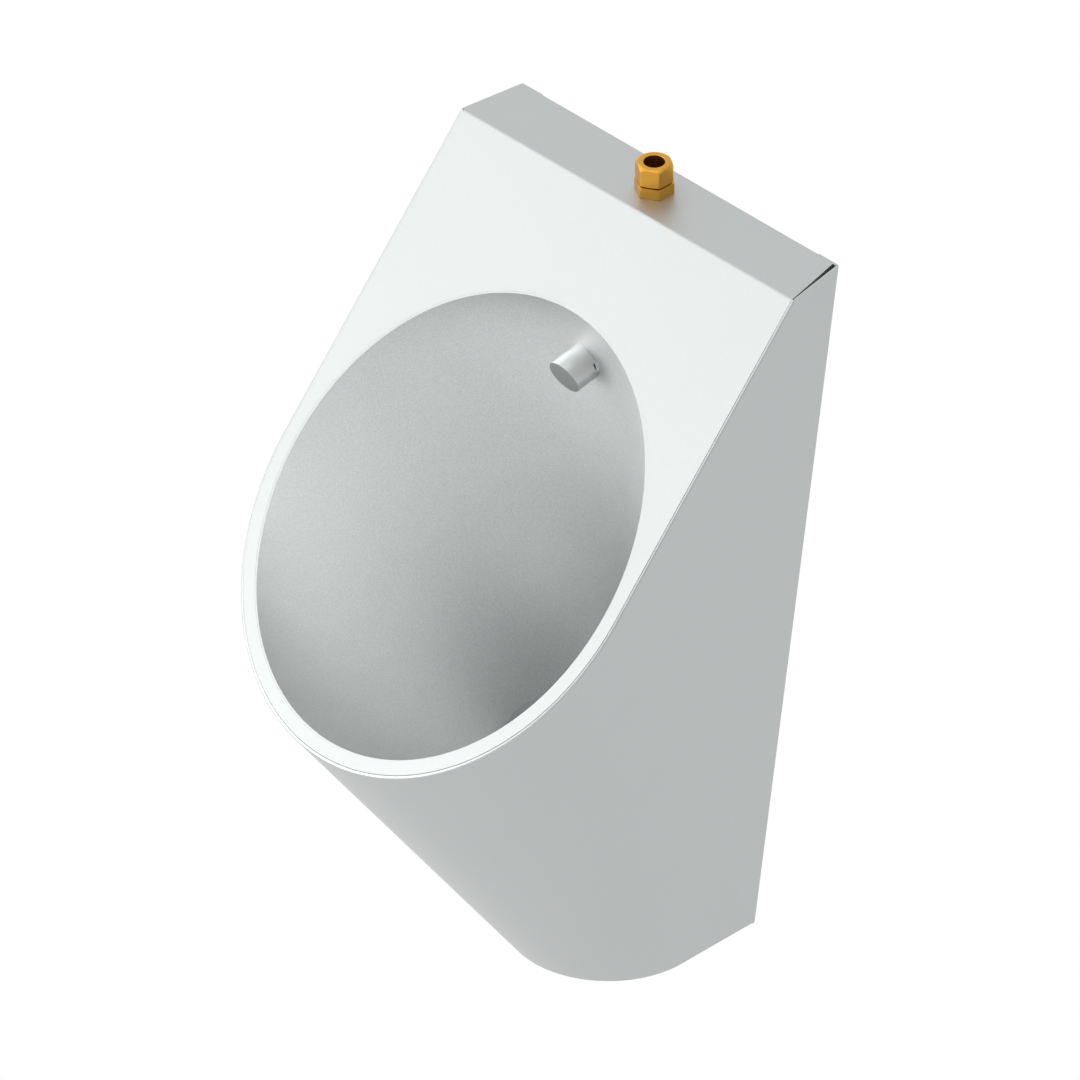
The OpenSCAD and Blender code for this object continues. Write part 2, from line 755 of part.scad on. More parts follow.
module waste_backnut()
    color([0.8, 0.6, 0.26])
    on_drain(sump_floor - bowl_t - gasket_h - waste_nut_h)
        hex_ring(waste_nut_af, waste_r + slip, waste_nut_h);

module strainer()
    color([0.78, 0.8, 0.8]) {
        low = flange_low + waste_flange_h - seat_depth + gap;
        difference() {
            on_drain(low) cylinder(d = strainer_d, h = strainer_h);
            for (k = hole_rings) for (i = [0 : 6*k - 1])
                on_drain(low - over) rotate(60*i/k) translate([k*hole_pitch, 0])
                    cylinder(d = strainer_hole_d, h = strainer_h + 2*over);
        }
        on_drain(low - skirt_h) ring(skirt_r, skirt_r - bowl_t, skirt_h + strainer_h/2);
        on_drain(low) cylinder(r = knob_r, h = strainer_h + knob_h);
    }

// The bottle trap under the waste

module on_outlet(y)
    translate([0, y, z_base + outlet_h]) rotate([-90, 0, 0]) children();

module trap_body()
    color([0.93, 0.93, 0.92])
    difference() {
        dip_r = dip_bore/2;
        union() {
            difference() {
                union() {
                    on_drain(trap_low_h) cylinder(r = trap_r, h = trap_top - trap_low_h);
                    on_outlet(-drain_y) cylinder(r = spout_r, h = trap_r + spout_l);
                }
                on_drain(trap_low_h - over)
                    cylinder(r = trap_r - trap_wall, h = trap_top - trap_low_h);
                on_outlet(-drain_y) cylinder(d = outlet_d - 2*trap_wall, h = trap_r + spout_l + over);
                on_outlet(-spout_y + trap_wall) cylinder(r = outlet_d/2 + slip, h = spout_l + over);
            }
            on_drain(trap_top - over) cylinder(r = boss_r, h = boss_top - trap_top + over);
            on_drain(dip_low) cylinder(r = dip_r + trap_wall, h = trap_top - dip_low);
        }
        on_drain(dip_low - over) cylinder(r = dip_r, h = boss_top - dip_low + 2*over);
        on_drain(tail_low - gap) cylinder(r = waste_r + free_fit, h = boss_top - tail_low + over);
    }

module trap_nut(bore_r, body_r, side)
    difference() {
        hex_ring(2*(body_r + gap + trap_wall), bore_r, trap_nut_h, 12);
        translate([0, 0, -over])
            cylinder(r = body_r + gap, h = trap_nut_h - trap_wall + over);
    }

module trap_inlet_nut()
    color([0.9, 0.9, 0.89])
    on_drain(boss_top + washer_h + gap + trap_wall - trap_nut_h)
        trap_nut(waste_r + free_fit, boss_r);

module trap_inlet_washer()
    color([0.15, 0.15, 0.15])
    on_drain(boss_top) ring(boss_r - gap, waste_r + free_fit, washer_h);

module trap_outlet_nut()
    color([0.9, 0.9, 0.89])
    on_outlet(-spout_y + spout_l + washer_h + gap + trap_wall - trap_nut_h)
        trap_nut(outlet_d/2 + free_fit, spout_r);

module trap_outlet_washer()
    color([0.15, 0.15, 0.15])
    on_outlet(-spout_y + spout_l) ring(spout_r - gap, outlet_d/2 + free_fit, washer_h);

module outlet_pipe()
    color([0.93, 0.93, 0.92]) {
        start = -spout_y + trap_wall + gap;
        on_outlet(start) ring(outlet_d/2, outlet_d/2 - trap_wall, outlet_reach - start);
        on_outlet(-outlet_stop_w)
            ring(outlet_d/2 + outlet_stop_rise, outlet_d/2 - trap_wall, outlet_stop_w);
    }

module trap_cup()
    color([0.9, 0.9, 0.89])
    difference() {
        union() {
            on_drain(cup_low_h) cylinder(r = cup_r, h = cup_top - cup_low_h);
            for (i = [0 : rib_count - 1]) on_drain(cup_low_h)
                rotate(2*half_turn*i/rib_count) translate([cup_r, 0])
                    cylinder(r = rib_r, h = cup_top - cup_low_h);
        }
        on_drain(cup_low_h + trap_wall) cylinder(r = trap_r - trap_wall, h = cup_top);
        on_drain(cup_ledge) cylinder(r = trap_r + gap, h = cup_top);
    }

module trap_cup_seal()
    color([0.15, 0.15, 0.15])
    on_drain(cup_ledge + gap) ring(trap_r, trap_r - trap_wall + gap, cup_seal_h);

wall_bracket();
hanger_rail();
body_shell();
front_panel();
bowl();
earth_tag();
earth_bolt();
earth_washers();
earth_nut();
inlet_body();
inlet_washer();
inlet_locknut();
inlet_olive();
inlet_nut();
flush_pipe();
spray_head();
spray_gasket();
spray_backnut();
spray_union_nut();
waste_body();
waste_seal();
waste_gasket();
waste_backnut();
strainer();
trap_body();
trap_inlet_nut();
trap_inlet_washer();
trap_outlet_nut();
trap_outlet_washer();
outlet_pipe();
trap_cup();
trap_cup_seal();
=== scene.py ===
# %% [markdown]
# # A wall hung urinal
# A real one is folded and rolled from thin stainless sheet: a sloped front panel with an oval
# opening, a shell wrapped round it, and a deep drawn bowl welded in behind the opening. Brass,
# rubber and plastic fittings bring the water in at the top and take it away through a bottle trap.
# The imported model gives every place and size, so this scene only has to dress it.

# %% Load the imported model
import json
import math

import bmesh
import bpy
from mathutils import Matrix, Vector


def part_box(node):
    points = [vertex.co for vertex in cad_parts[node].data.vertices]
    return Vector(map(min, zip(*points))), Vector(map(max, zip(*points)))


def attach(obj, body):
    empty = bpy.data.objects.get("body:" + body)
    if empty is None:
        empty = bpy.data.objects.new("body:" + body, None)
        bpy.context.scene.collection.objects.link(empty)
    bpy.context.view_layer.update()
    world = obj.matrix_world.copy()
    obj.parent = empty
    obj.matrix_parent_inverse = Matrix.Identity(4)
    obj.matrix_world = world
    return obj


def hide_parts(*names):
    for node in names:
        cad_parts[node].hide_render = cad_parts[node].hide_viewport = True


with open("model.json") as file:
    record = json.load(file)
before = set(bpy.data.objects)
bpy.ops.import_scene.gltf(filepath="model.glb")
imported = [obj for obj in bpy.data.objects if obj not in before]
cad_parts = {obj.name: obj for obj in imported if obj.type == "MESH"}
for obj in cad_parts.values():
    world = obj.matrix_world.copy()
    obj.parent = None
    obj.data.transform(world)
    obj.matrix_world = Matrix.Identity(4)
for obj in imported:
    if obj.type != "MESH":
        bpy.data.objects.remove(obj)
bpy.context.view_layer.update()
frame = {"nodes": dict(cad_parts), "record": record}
MM = 0.001
print("the packed model has", len(frame["nodes"]), "nodes")

# %% [markdown]
# The sizes are named once, in metres. Those that a node's box shows are read from it, so the
# scene follows the model. The slope of the front is set by where its straight run ends and where
# the lip is lowest.

# %% Sizes of the body
panel_low, panel_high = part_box("front_panel")
base_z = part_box("body_shell")[0].z
top_z = panel_high.z
front_half = panel_high.x
body_depth = -panel_low.y
top_depth = 52.5 * MM
lip_height = 278 * MM
lip_curve = 185 * MM
back_half_top = 155.5 * MM
base_radius = 72.25 * MM
base_depth = 143.2 * MM
base_middle = base_depth - base_radius
sheet = 1.5 * MM
fold_radius = 3 * MM

slope_run = body_depth - top_depth
slope_rise = top_z - base_z - lip_height
slope_length = math.hypot(slope_run, slope_rise)
slope_tilt = math.atan2(slope_run, slope_rise)
lip_middle = slope_length - lip_curve
bend_turn = math.pi / 2 - slope_tilt
UP_SLOPE = Vector((0, math.sin(slope_tilt), math.cos(slope_tilt)))
OUT_OF_SLOPE = Vector((0, -math.cos(slope_tilt), math.sin(slope_tilt)))
TOP_EDGE = Vector((0, -top_depth, top_z))
print("the front slopes", round(math.degrees(slope_tilt), 1), "degrees from upright")


# %% [markdown]
# Most places on the body are easier to give on the sloped front itself than in the room: so far
# across, so far along the slope. A few functions turn such places into points of the room, and
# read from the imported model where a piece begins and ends.


# %% Places on the slope and the wall
def on_slope(x, along, depth=0.0):
    """A point of the front panel's plane: x across, along the slope from its top, and inwards."""
    return TOP_EDGE + Vector((x, 0, 0)) + UP_SLOPE * along - OUT_OF_SLOPE * depth


def below_slope(spot):
    """How far a place lies behind the front panel's plane."""
    return (TOP_EDGE - spot).dot(OUT_OF_SLOPE)


def back_half(z):
    """Half the body's width against the wall at a height."""
    share = (z - base_z) / (top_z - base_z)
    return base_radius + (back_half_top - base_radius) * share


def span(node, axis, start=0.0):
    """Where a node's box begins and ends along an axis, counted from a start."""
    low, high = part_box(node)
    return getattr(low, axis) - start, getattr(high, axis) - start


print("half the width at mid height:", round(back_half((base_z + top_z) / 2) / MM, 1), "mm")

# %% [markdown]
# A few helpers serve nearly every piece. These make a mesh from points and faces, weld it and turn
# its faces outwards, join meshes, cut one out of another, and turn modifiers into plain geometry.


# %% Helpers for meshes
def make(name, points, faces):
    """A mesh object from points and faces, at the origin."""
    mesh = bpy.data.meshes.new(name)
    mesh.from_pydata([tuple(p) for p in points], [], faces)
    obj = bpy.data.objects.new(name, mesh)
    bpy.context.scene.collection.objects.link(obj)
    return obj


def weld(obj, distance=1e-6):
    """Merges doubled points and turns all faces outwards."""
    work = bmesh.new()
    work.from_mesh(obj.data)
    bmesh.ops.remove_doubles(work, verts=work.verts, dist=distance)
    bmesh.ops.dissolve_degenerate(work, dist=distance, edges=work.edges)
    bmesh.ops.recalc_face_normals(work, faces=work.faces)
    work.to_mesh(obj.data)
    work.free()
    return obj


def settle(obj):
    """Turns an object's modifiers into plain geometry."""
    bpy.context.view_layer.update()
    graph = bpy.context.evaluated_depsgraph_get()
    mesh = bpy.data.meshes.new_from_object(obj.evaluated_get(graph))
    obj.modifiers.clear()
    obj.data = mesh
    return obj


def join(name, *objs):
    """One object from several meshes."""
    work = bmesh.new()
    for obj in objs:
        work.from_mesh(obj.data)
        bpy.data.objects.remove(obj)
    whole = make(name, [], [])
    work.to_mesh(whole.data)
    work.free()
    return whole


def cut(obj, *tools):
    """Cuts other closed meshes out of one."""
    for tool in tools:
        knife = obj.modifiers.new("Cut", "BOOLEAN")
        knife.operation = "DIFFERENCE"
        knife.solver = "EXACT"
        knife.object = tool
    settle(obj)
    for tool in tools:
        bpy.data.objects.remove(tool)
    return obj


print("meshes so far:", len(bpy.data.meshes))

# %% [markdown]
# Pressed, turned and moulded edges are never knife sharp. A narrow bevel catches the light along
# them. Weighted normals then keep the large flat faces beside it flat, where plain smooth shading
# would make them look swollen.


# %% Helpers for walls and edges
def thicken(obj, wall, side):
    """Gives a sheet its thickness, outwards of its faces (1) or inwards (-1)."""
    thick = obj.modifiers.new("Sheet", "SOLIDIFY")
    thick.thickness = wall
    thick.offset = side
    thick.use_even_offset = True
    return settle(obj)


def smooth(obj, angle=32):
    """Shades a mesh smooth but keeps its corners sharp."""
    obj.data.shade_smooth()
    obj.data.set_sharp_from_angle(angle=math.radians(angle))
    return obj


def round_edges(obj, width, steps, angle):
    """Rounds every edge that is sharper than an angle."""
    bevel = obj.modifiers.new("Rounded edges", "BEVEL")
    bevel.width = width
    bevel.segments = steps
    bevel.limit_method = "ANGLE"
    bevel.angle_limit = math.radians(angle)
    return settle(obj)


def keep_flat(obj):
    """Keeps the shading of flat faces flat beside rounded edges."""
    weight = obj.modifiers.new("Flat faces stay flat", "WEIGHTED_NORMAL")
    weight.weight = 100
    weight.keep_sharp = True
    return settle(obj)


def soften(obj, width, steps=3, angle=30):
    """Rounds the edges of a piece a little, as tumbling or pressing does."""
    round_edges(obj, width, steps, angle)
    obj.data.shade_smooth()
    return keep_flat(obj)


# %% [markdown]
# A finished piece is handed over in one step: it gets its finish, it rides on the body that its
# node moves with, and it takes the place of that node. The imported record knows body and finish.

# %% Hand a piece over
record = frame["record"]
slot_of = {part["node"]: part["material_slot"] for part in record["subparts"]}
body_of = {node: body for body, nodes in record["behaviour"]["bodies"].items() for node in nodes}


def dress(obj, node, finish_name=None):
    """Gives a finished piece its finish, its body and the node that it stands for."""
    obj.data.materials.clear()
    obj.data.materials.append(FINISHES[finish_name or slot_of[node]])
    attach(obj, body_of[node])
    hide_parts(node)
    return obj


# %% [markdown]
# ## Finishes
# Satin steel isn't a flat grey. Its grain scatters the light a little differently from point to
# point, and sheet that went through rolls has soft, very faint clouds. Both effects are used by
# several metals, so they are one shader node group with its own inputs, and each material sets its
# own sizes. The group puts out a shade, a roughness and a height, and the shader itself stays in
# the material.


# %% Links and sums in a node tree
def link_all(tree, pairs):
    """Links (from socket, to socket) pairs."""
    for start, end in pairs:
        tree.links.new(start, end)


def maths(tree, kind, *values):
    """A Math node on sockets or plain numbers; gives its result socket."""
    node = tree.nodes.new("ShaderNodeMath")
    node.operation = kind
    for k, value in enumerate(values):
        if isinstance(value, (int, float)):
            node.inputs[k].default_value = value
        else:
            tree.links.new(value, node.inputs[k])
    return node.outputs[0]


# %% Grain, a group that the finishes share
def grain_group():
    """Fine grain and soft clouds on object coordinates."""
    tree = bpy.data.node_groups.new("Metal grain", "ShaderNodeTree")
    for name in ("Grain size", "Cloud size", "Grain share", "Base roughness", "Roughness spread"):
        tree.interface.new_socket(name, in_out="INPUT", socket_type="NodeSocketFloat")
    for name in ("Shade", "Roughness", "Height"):
        tree.interface.new_socket(name, in_out="OUTPUT", socket_type="NodeSocketFloat")
    given = tree.nodes.new("NodeGroupInput").outputs
    result = tree.nodes.new("NodeGroupOutput").inputs
    place = tree.nodes.new("ShaderNodeTexCoord")
    blend = tree.nodes.new("ShaderNodeMix")
    blend.data_type = "FLOAT"
    for size, side in (("Cloud size", "A"), ("Grain size", "B")):
        noise = tree.nodes.new("ShaderNodeTexNoise")
        noise.inputs["Detail"].default_value = 2
        noise.inputs["Roughness"].default_value = 0.6
        link_all(tree, [(maths(tree, "DIVIDE", 1, given[size]), noise.inputs["Scale"]),
                        (place.outputs["Object"], noise.inputs["Vector"]),
                        (noise.outputs["Fac"], blend.inputs[side])])
    shade = blend.outputs["Result"]
    swing = maths(tree, "SUBTRACT", shade, 0.5)
    rough = maths(tree, "MULTIPLY_ADD", swing, given["Roughness spread"], given["Base roughness"])
    link_all(tree, [(given["Grain share"], blend.inputs["Factor"]), (shade, result["Shade"]),
                    (rough, result["Roughness"]), (noise.outputs["Fac"], result["Height"])])
    return tree


grain = grain_group()
print("the grain group has", len(grain.nodes), "nodes")

# %% [markdown]
# Every finish is then one call: two close colours for the grain to move between, how rough it is,
# how metallic, and how deep its grain stands. The bowl is blasted with fine beads, so its grain is
# the strongest, and the sheet round it is brushed to a satin.


# %% One material for each finish
def finish(name, dark, light, roughness, metallic=1.0, grain_mm=0.6, cloud_mm=60, grain_share=0.5,
           spread=0.1, bump=0.05):
    """A Principled material whose colour, roughness and normal vary with the shared grain."""
    material = bpy.data.materials.new(name)
    material.use_nodes = True
    tree = material.node_tree
    shader = tree.nodes["Principled BSDF"]
    shader.inputs["Metallic"].default_value = metallic
    group = tree.nodes.new("ShaderNodeGroup")
    group.node_tree = grain
    for label, value in (("Grain size", grain_mm * MM), ("Cloud size", cloud_mm * MM),
                         ("Grain share", grain_share), ("Base roughness", roughness),
                         ("Roughness spread", spread)):
        group.inputs[label].default_value = value
    tint = tree.nodes.new("ShaderNodeMix")
    tint.data_type = "RGBA"
    tint.inputs["A"].default_value = (*dark, 1)
    tint.inputs["B"].default_value = (*light, 1)
    lift = tree.nodes.new("ShaderNodeBump")
    lift.inputs["Strength"].default_value = bump
    lift.inputs["Distance"].default_value = 0.1 * MM
    link_all(tree, [(group.outputs["Shade"], tint.inputs["Factor"]),
                    (tint.outputs["Result"], shader.inputs["Base Color"]),
                    (group.outputs["Roughness"], shader.inputs["Roughness"]),
                    (group.outputs["Height"], lift.inputs["Height"]),
                    (lift.outputs["Normal"], shader.inputs["Normal"])])
    return material


def grey(level, warmth=0.0):
    """A grey of a linear level, a little warmer or cooler."""
    return (level * (1 + warmth), level, level * (1 - warmth))


def steel(level, lean=0.035):
    """Stainless steel's grey under daylight, which leans to green and blue a little."""
    return (level * (1 - lean), level, level * (1 - lean / 7))


print("steel at half level:", [round(part, 3) for part in steel(0.5)])

# %% The finishes by name
FINISHES = {
    "satin_steel": finish("Satin steel", steel(0.495), steel(0.59), 0.48, grain_mm=0.9,
                          grain_share=0.85, bump=0.06),
    "bowl_steel": finish("Bead blasted steel", steel(0.54, 0.02), steel(0.94, 0.02), 0.5, grain_mm=1,
                         grain_share=0.9, bump=0.24),
    "spray_steel": finish("Cast spray head", steel(0.5), steel(0.58), 0.38, bump=0.06),
    "polished_steel": finish("Polished steel", grey(0.58), grey(0.66), 0.22, spread=0.08, bump=0.02),
    "tube_steel": finish("Drawn tube", grey(0.52), grey(0.6), 0.3, cloud_mm=15, bump=0.03),
    "bracket_steel": finish("Galvanised steel", grey(0.36, -0.02), grey(0.56, -0.02), 0.46,
                            grain_mm=5, cloud_mm=18, grain_share=0.7),
    "zinc": finish("Zinc plate", (0.5, 0.5, 0.44), (0.62, 0.62, 0.56), 0.34, cloud_mm=8),
    "brass": finish("Brass", (0.58, 0.29, 0.035), (0.7, 0.37, 0.06), 0.34, cloud_mm=12),
    "rubber": finish("Moulded rubber", grey(0.018), grey(0.035), 0.6, metallic=0, cloud_mm=10),
    "fibre": finish("Pressed fibre", (0.12, 0.02, 0.012), (0.2, 0.045, 0.03), 0.8, metallic=0,
                    cloud_mm=4, bump=0.2),
    "white_plastic": finish("Moulded white plastic", grey(0.7, 0.01), grey(0.78, 0.01), 0.3,
                            metallic=0, spread=0.06, bump=0.01),
}
print("finishes:", ", ".join(material.name for material in FINISHES.values()))

# %% [markdown]
# ## The front panel
# One sheet makes the sloped front and the flat top, with a small bend between them, and a lip
# turned down against the wall. It could be a box cut to shape, but a sheet with its own thickness
# gives the true folded edge. So its outer face is laid out in rows of points, with strips of faces
# between them, and Solidify adds the thickness inwards.

# %% Sizes of the panel
groove = 0.7 * MM
rolled_edge = 1.9 * MM
panel_inset = rolled_edge + groove
panel_half = front_half - panel_inset
opening_half_width = front_half - 11.5 * MM
opening_half_length = 345.4 / 2 * MM
inlet_y = -26.25 * MM
inlet_hole = 10.3 * MM
tangent = fold_radius * math.tan(bend_turn / 2)
fold_centre = Vector((0, -top_depth + tangent, top_z - fold_radius))
back_inset = 4.8 * MM
lap_inset = 0.2 * MM
tab_lean = 1.4 * MM
tab_drop = 7 * MM
lip_drop = 18 * MM
lip_half = 135.3 * MM
ACROSS = 40
BESIDE = 32
print("opening:", round(2 * opening_half_width / MM, 1), "by", round(2 * opening_half_length / MM, 1), "mm")


# %% Rows of points and strips of faces
class Rows:
    """A sheet's outer face in the making: rows of points, and faces between them."""

    def __init__(self):
        self.points, self.faces = [], []

    def row(self, spots):
        """Adds a row of points and gives their numbers."""
        self.points += spots
        return list(range(len(self.points) - len(spots), len(self.points)))

    def strip(self, row, other, closed=False):
        """Adds the faces between two rows of as many points."""
        pairs = list(zip(row, other))
        following = pairs[1:] + pairs[:1] if closed else pairs[1:]
        self.faces += [(a, c, d, b) for (a, b), (c, d) in zip(pairs, following)]


def spaced(start, end, count):
    """Points from start up to, but not with, end."""
    return [start.lerp(end, i / count) for i in range(count)]


def lip_arc(half, reach, count):
    """The round lip from left to right, as (x, along) pairs with both ends."""
    turns = [math.pi + math.pi * i / count for i in range(count + 1)]
    return [Vector((half * math.cos(a), -lip_middle + reach * math.sin(a))) for a in turns]


def panel_outline():
    """The sloped face's outer edge, once round from its right top corner, as (x, along) pairs."""
    right, left = Vector((panel_half, -tangent)), Vector((-panel_half, -tangent))
    lip = lip_arc(panel_half, lip_curve - panel_inset, 96)
    return (spaced(right, left, ACROSS) + spaced(left, Vector((-panel_half, -lip_middle)), BESIDE)
            + lip[:-1] + spaced(Vector((panel_half, -lip_middle)), right, BESIDE))


print("the slope's outline has", len(panel_outline()), "points")


# %% The slope and the bend
def slope_face(build):
    """The sloped face with its oval opening; gives the row along its top."""
    outline = panel_outline()
    opening = []
    for p in outline:
        a = math.atan2((p.y + lip_middle) / opening_half_length, p.x / opening_half_width)
        opening.append(on_slope(opening_half_width * math.cos(a),
                                -lip_middle + opening_half_length * math.sin(a)))
    outer = build.row([on_slope(p.x, p.y) for p in outline])
    build.strip(outer, build.row(opening), closed=True)
    return outer[:ACROSS + 1]


def bend(build, row, steps=6):
    """The bend, row by row from the slope up to the flat top; gives its last row."""
    for step in range(1, steps + 1):
        a = math.pi / 2 + bend_turn * (1 - step / steps)
        spot = fold_centre + Vector((0, fold_radius * math.cos(a), fold_radius * math.sin(a)))
        across = [panel_half * (1 - 2 * i / ACROSS) for i in range(ACROSS + 1)]
        following = build.row([spot + Vector((x, 0, 0)) for x in across])
        build.strip(row, following)
        row = following
    return row


print("the bend turns", round(math.degrees(bend_turn), 1), "degrees")

# %% [markdown]
# The flat top laps over the shell on the left. On the right it stops short and leaves a thin
# wedge of a gap, and a narrow tab turned down under that edge keeps the gap dark.


# %% The flat top, its tab and its lip
def flat_top(build, front):
    """The flat top round the inlet's hole; gives its back edge and its right edge."""
    right, left = build.points[front[0]], build.points[front[-1]]
    lapped = Vector((lap_inset - front_half, left.y, top_z))
    stops = (lap_inset - back_half_top, -lip_half, lip_half, back_half_top - back_inset)
    back_left, lip_left, lip_right, back_right = [Vector((x, -sheet, top_z)) for x in stops]
    back = build.row(spaced(back_left, lip_left, 4) + spaced(lip_left, lip_right, 32)
                     + spaced(lip_right, back_right, 4) + [back_right])
    left_side = build.row(spaced(lapped, back_left, 8))
    right_side = build.row(spaced(back_right, right, 8)[1:])
    loop = front + left_side + back + right_side
    hole = []
    for number in loop:
        p = build.points[number]
        a = math.atan2(p.y - inlet_y, p.x)
        hole.append(Vector((inlet_hole * math.cos(a), inlet_y + inlet_hole * math.sin(a), top_z)))
    build.strip(loop, build.row(hole), closed=True)
    return back, [back[-1]] + right_side + [front[0]]


def side_tab(build, edge):
    """A tab turned down along the right edge, behind the gap."""
    down = Vector((tab_lean, 0, tab_drop))
    build.strip(edge, build.row([build.points[i] - down for i in edge]))


def wall_lip(build, back, steps=4):
    """The lip turned down against the wall."""
    row = [i for i in back if abs(build.points[i].x) < lip_half + 0.01 * MM]
    across = [build.points[i].x for i in row]
    turns = [math.pi / 2 * step / steps for step in range(1, steps + 1)]
    levels = [(-sheet + sheet * math.sin(a), top_z - sheet + sheet * math.cos(a)) for a in turns]
    for y, z in levels + [(0, top_z - lip_drop)]:
        following = build.row([Vector((x, y, z)) for x in across])
        build.strip(row, following)
        row = following


def front_panel():
    """The folded panel's outer face, thickened inwards."""
    build = Rows()
    front = bend(build, slope_face(build))
    back, right = flat_top(build, front)
    side_tab(build, right)
    wall_lip(build, back)
    folded = thicken(weld(make("panel_sheet", build.points, build.faces)), sheet, -1)
    return soften(folded, width=0.15 * MM, steps=2, angle=50)


panel = dress(front_panel(), "front_panel")
print("front panel:", len(panel.data.polygons), "faces")

# %% [markdown]
# ## The shell
# The shell is rolled from flat sheet, so it may bend only one way at a time: straight lines run
# over it from the front edge to the base or the wall. The lines are found as a card would find
# them when laid against two bent wires: it rests on one point of each, and rolls on to whichever
# next point lets it touch both.

# %% The two edges as wires
WALL_STOPS = 30


def front_wire():
    """The front edge from its left top corner, round the lip, to the right top corner."""
    left = spaced(on_slope(-front_half, 0), on_slope(-front_half, -lip_middle), 24)
    lip = [on_slope(p.x, p.y) for p in lip_arc(front_half, lip_curve, 120)]
    return left + lip + [Vector((-p.x, p.y, p.z)) for p in reversed(left)]


def back_wire(count=72):
    """The wall's left edge down to the base, round the base, and up the right edge."""
    top, foot = Vector((-back_half_top, 0, top_z)), Vector((-base_radius, 0, base_z))
    left = spaced(top, foot, WALL_STOPS) + spaced(foot, Vector((-base_radius, -base_middle, base_z)), 8)
    turns = [math.pi + math.pi * i / count for i in range(count + 1)]
    curve = [Vector((base_radius * math.cos(a), -base_middle + base_radius * math.sin(a), base_z))
             for a in turns]
    return left + curve + [Vector((-p.x, p.y, p.z)) for p in reversed(left)]


fore, rear = front_wire(), back_wire()
print("wires of", len(fore), "and", len(rear), "points")

# %% Straight lines over the shell
INSIDE = Vector((0, -120 * MM, -100 * MM))


def outwards(normal, spot):
    """The normal at a spot, turned away from the inside of the body."""
    return normal if normal.dot(spot - INSIDE) > 0 else -normal


def rulings():
    """Pairs of numbers (front, back), one for each straight line over the shell."""
    i = j = 0
    pairs = [(0, 0)]
    while i < len(fore) - 1 or j < len(rear) - 1:
        if i == len(fore) - 1:
            j += 1
        elif j == len(rear) - 1:
            i += 1
        else:
            across = fore[i + 1] - fore[i]
            normal = outwards(across.cross(rear[j] - fore[i]), fore[i])
            if normal.dot(rear[j + 1] - fore[i]) > 1e-9:
                j += 1
            else:
                i += 1
        pairs.append((i, j))
    return pairs


lines = rulings()
print("the shell has", len(lines), "straight lines")

# %% [markdown]
# Each line carries one cross section of the sheet: from the flange at the back, along the wall,
# over the rolled front edge, down into the fine seam beside the panel, and back along the inside.
# The seam fades out to the left and upwards, where the two sheets are pressed tight.

# %% Flanges, corners and the seam
wall_flange = 20 * MM
base_flange = 8 * MM
flange_fold = 1.5 * MM
groove_depth = 0.55 * MM
fade_start = -50 * MM
fade_height = 150 * MM
fade_share = 0.7


def corner(point, one, other, reach, steps=4):
    """A rounded corner from one direction to the other."""
    start, end = point + one * reach, point + other * reach
    shares = [k / steps for k in range(steps + 1)]
    return [start * (1 - s) ** 2 + point * 2 * s * (1 - s) + end * s * s for s in shares]


def clamped(share):
    """A share held between nothing and one."""
    return min(1, max(0, share))


def seam_depth(p):
    """How deep the fine seam is at a point of the front edge."""
    rise = clamped((p.z - fade_start) / fade_height)
    return groove_depth * clamped(1 + p.x / front_half) * (1 - fade_share * rise)


def flange_tip(p, base):
    """Where the flange at a point of the back wire ends."""
    side = -1 if p.x < 0 else 1
    tip_radius = base_radius - base_flange
    if not base:
        z = max(p.z, base_z + wall_flange)
        return Vector((side * (back_half(z) - wall_flange), 0, z))
    if p.y > -base_middle:
        return Vector((side * tip_radius, min(p.y, -base_flange), base_z))
    middle = Vector((0, -base_middle, base_z))
    return middle + (p - middle).normalized() * tip_radius


def front_inward(i):
    """Across the front edge, inwards in the panel's plane."""
    if abs(fore[i].x) > front_half - 1e-6:
        return Vector((-1 if fore[i].x > 0 else 1, 0, 0))
    inward = (fore[i + 1] - fore[i - 1]).cross(OUT_OF_SLOPE).normalized()
    return inward if inward.dot(on_slope(0, -lip_middle) - fore[i]) > 0 else -inward


print("the seam is", round(seam_depth(on_slope(front_half, -lip_middle)) / MM, 2), "mm deep at the right")

# %% One cross section
ALONG = 14
seam_rise = 0.87
seam_lean = 0.25
seam_run = 0.45
seam_gap = 0.02 * MM
fold_share = 1.2


def outer_side(front, back, tip, inward):
    """The sheet's outer side: flange, wall, rolled front edge and the seam's floor."""
    along = (front - back).normalized()
    side = [tip] + corner(back, (tip - back).normalized(), along, flange_fold)
    start, end = side[-1], front - along * rolled_edge
    side += [start.lerp(end, k / ALONG) for k in range(1, ALONG)]
    side += corner(front, -along, inward, rolled_edge)
    depth = seam_depth(front)
    floor_middle = front + inward * (rolled_edge + groove / 2) - OUT_OF_SLOPE * depth
    rise = OUT_OF_SLOPE * (seam_rise * depth / groove) - inward * seam_lean
    return side + corner(floor_middle, rise, inward * seam_run, groove, 3)


def inner_side(front, back, inset):
    """The sheet's inner side, from the front edge back to the wall."""
    gap = (front - back).normalized() * sheet * fold_share
    start, end = front + inset - gap, back + inset + gap
    return [start.lerp(end, k / ALONG) for k in range(ALONG + 1)]


def section(i, j, base, normal):
    """The closed cross section of the sheet on the line from the back wire to the front edge."""
    front, back, inward = fore[i], rear[j], front_inward(i)
    tip = flange_tip(back, base)
    depth = seam_depth(front)
    rim = front + inward * (panel_inset - seam_gap) - OUT_OF_SLOPE * depth
    flange_out = Vector((0, 0, -1)) if base else Vector((0, 1, 0))
    return (outer_side(front, back, tip, inward) + [rim, rim - OUT_OF_SLOPE * (sheet - depth)]
            + inner_side(front, back, normal * -sheet) + [tip - flange_out * sheet])


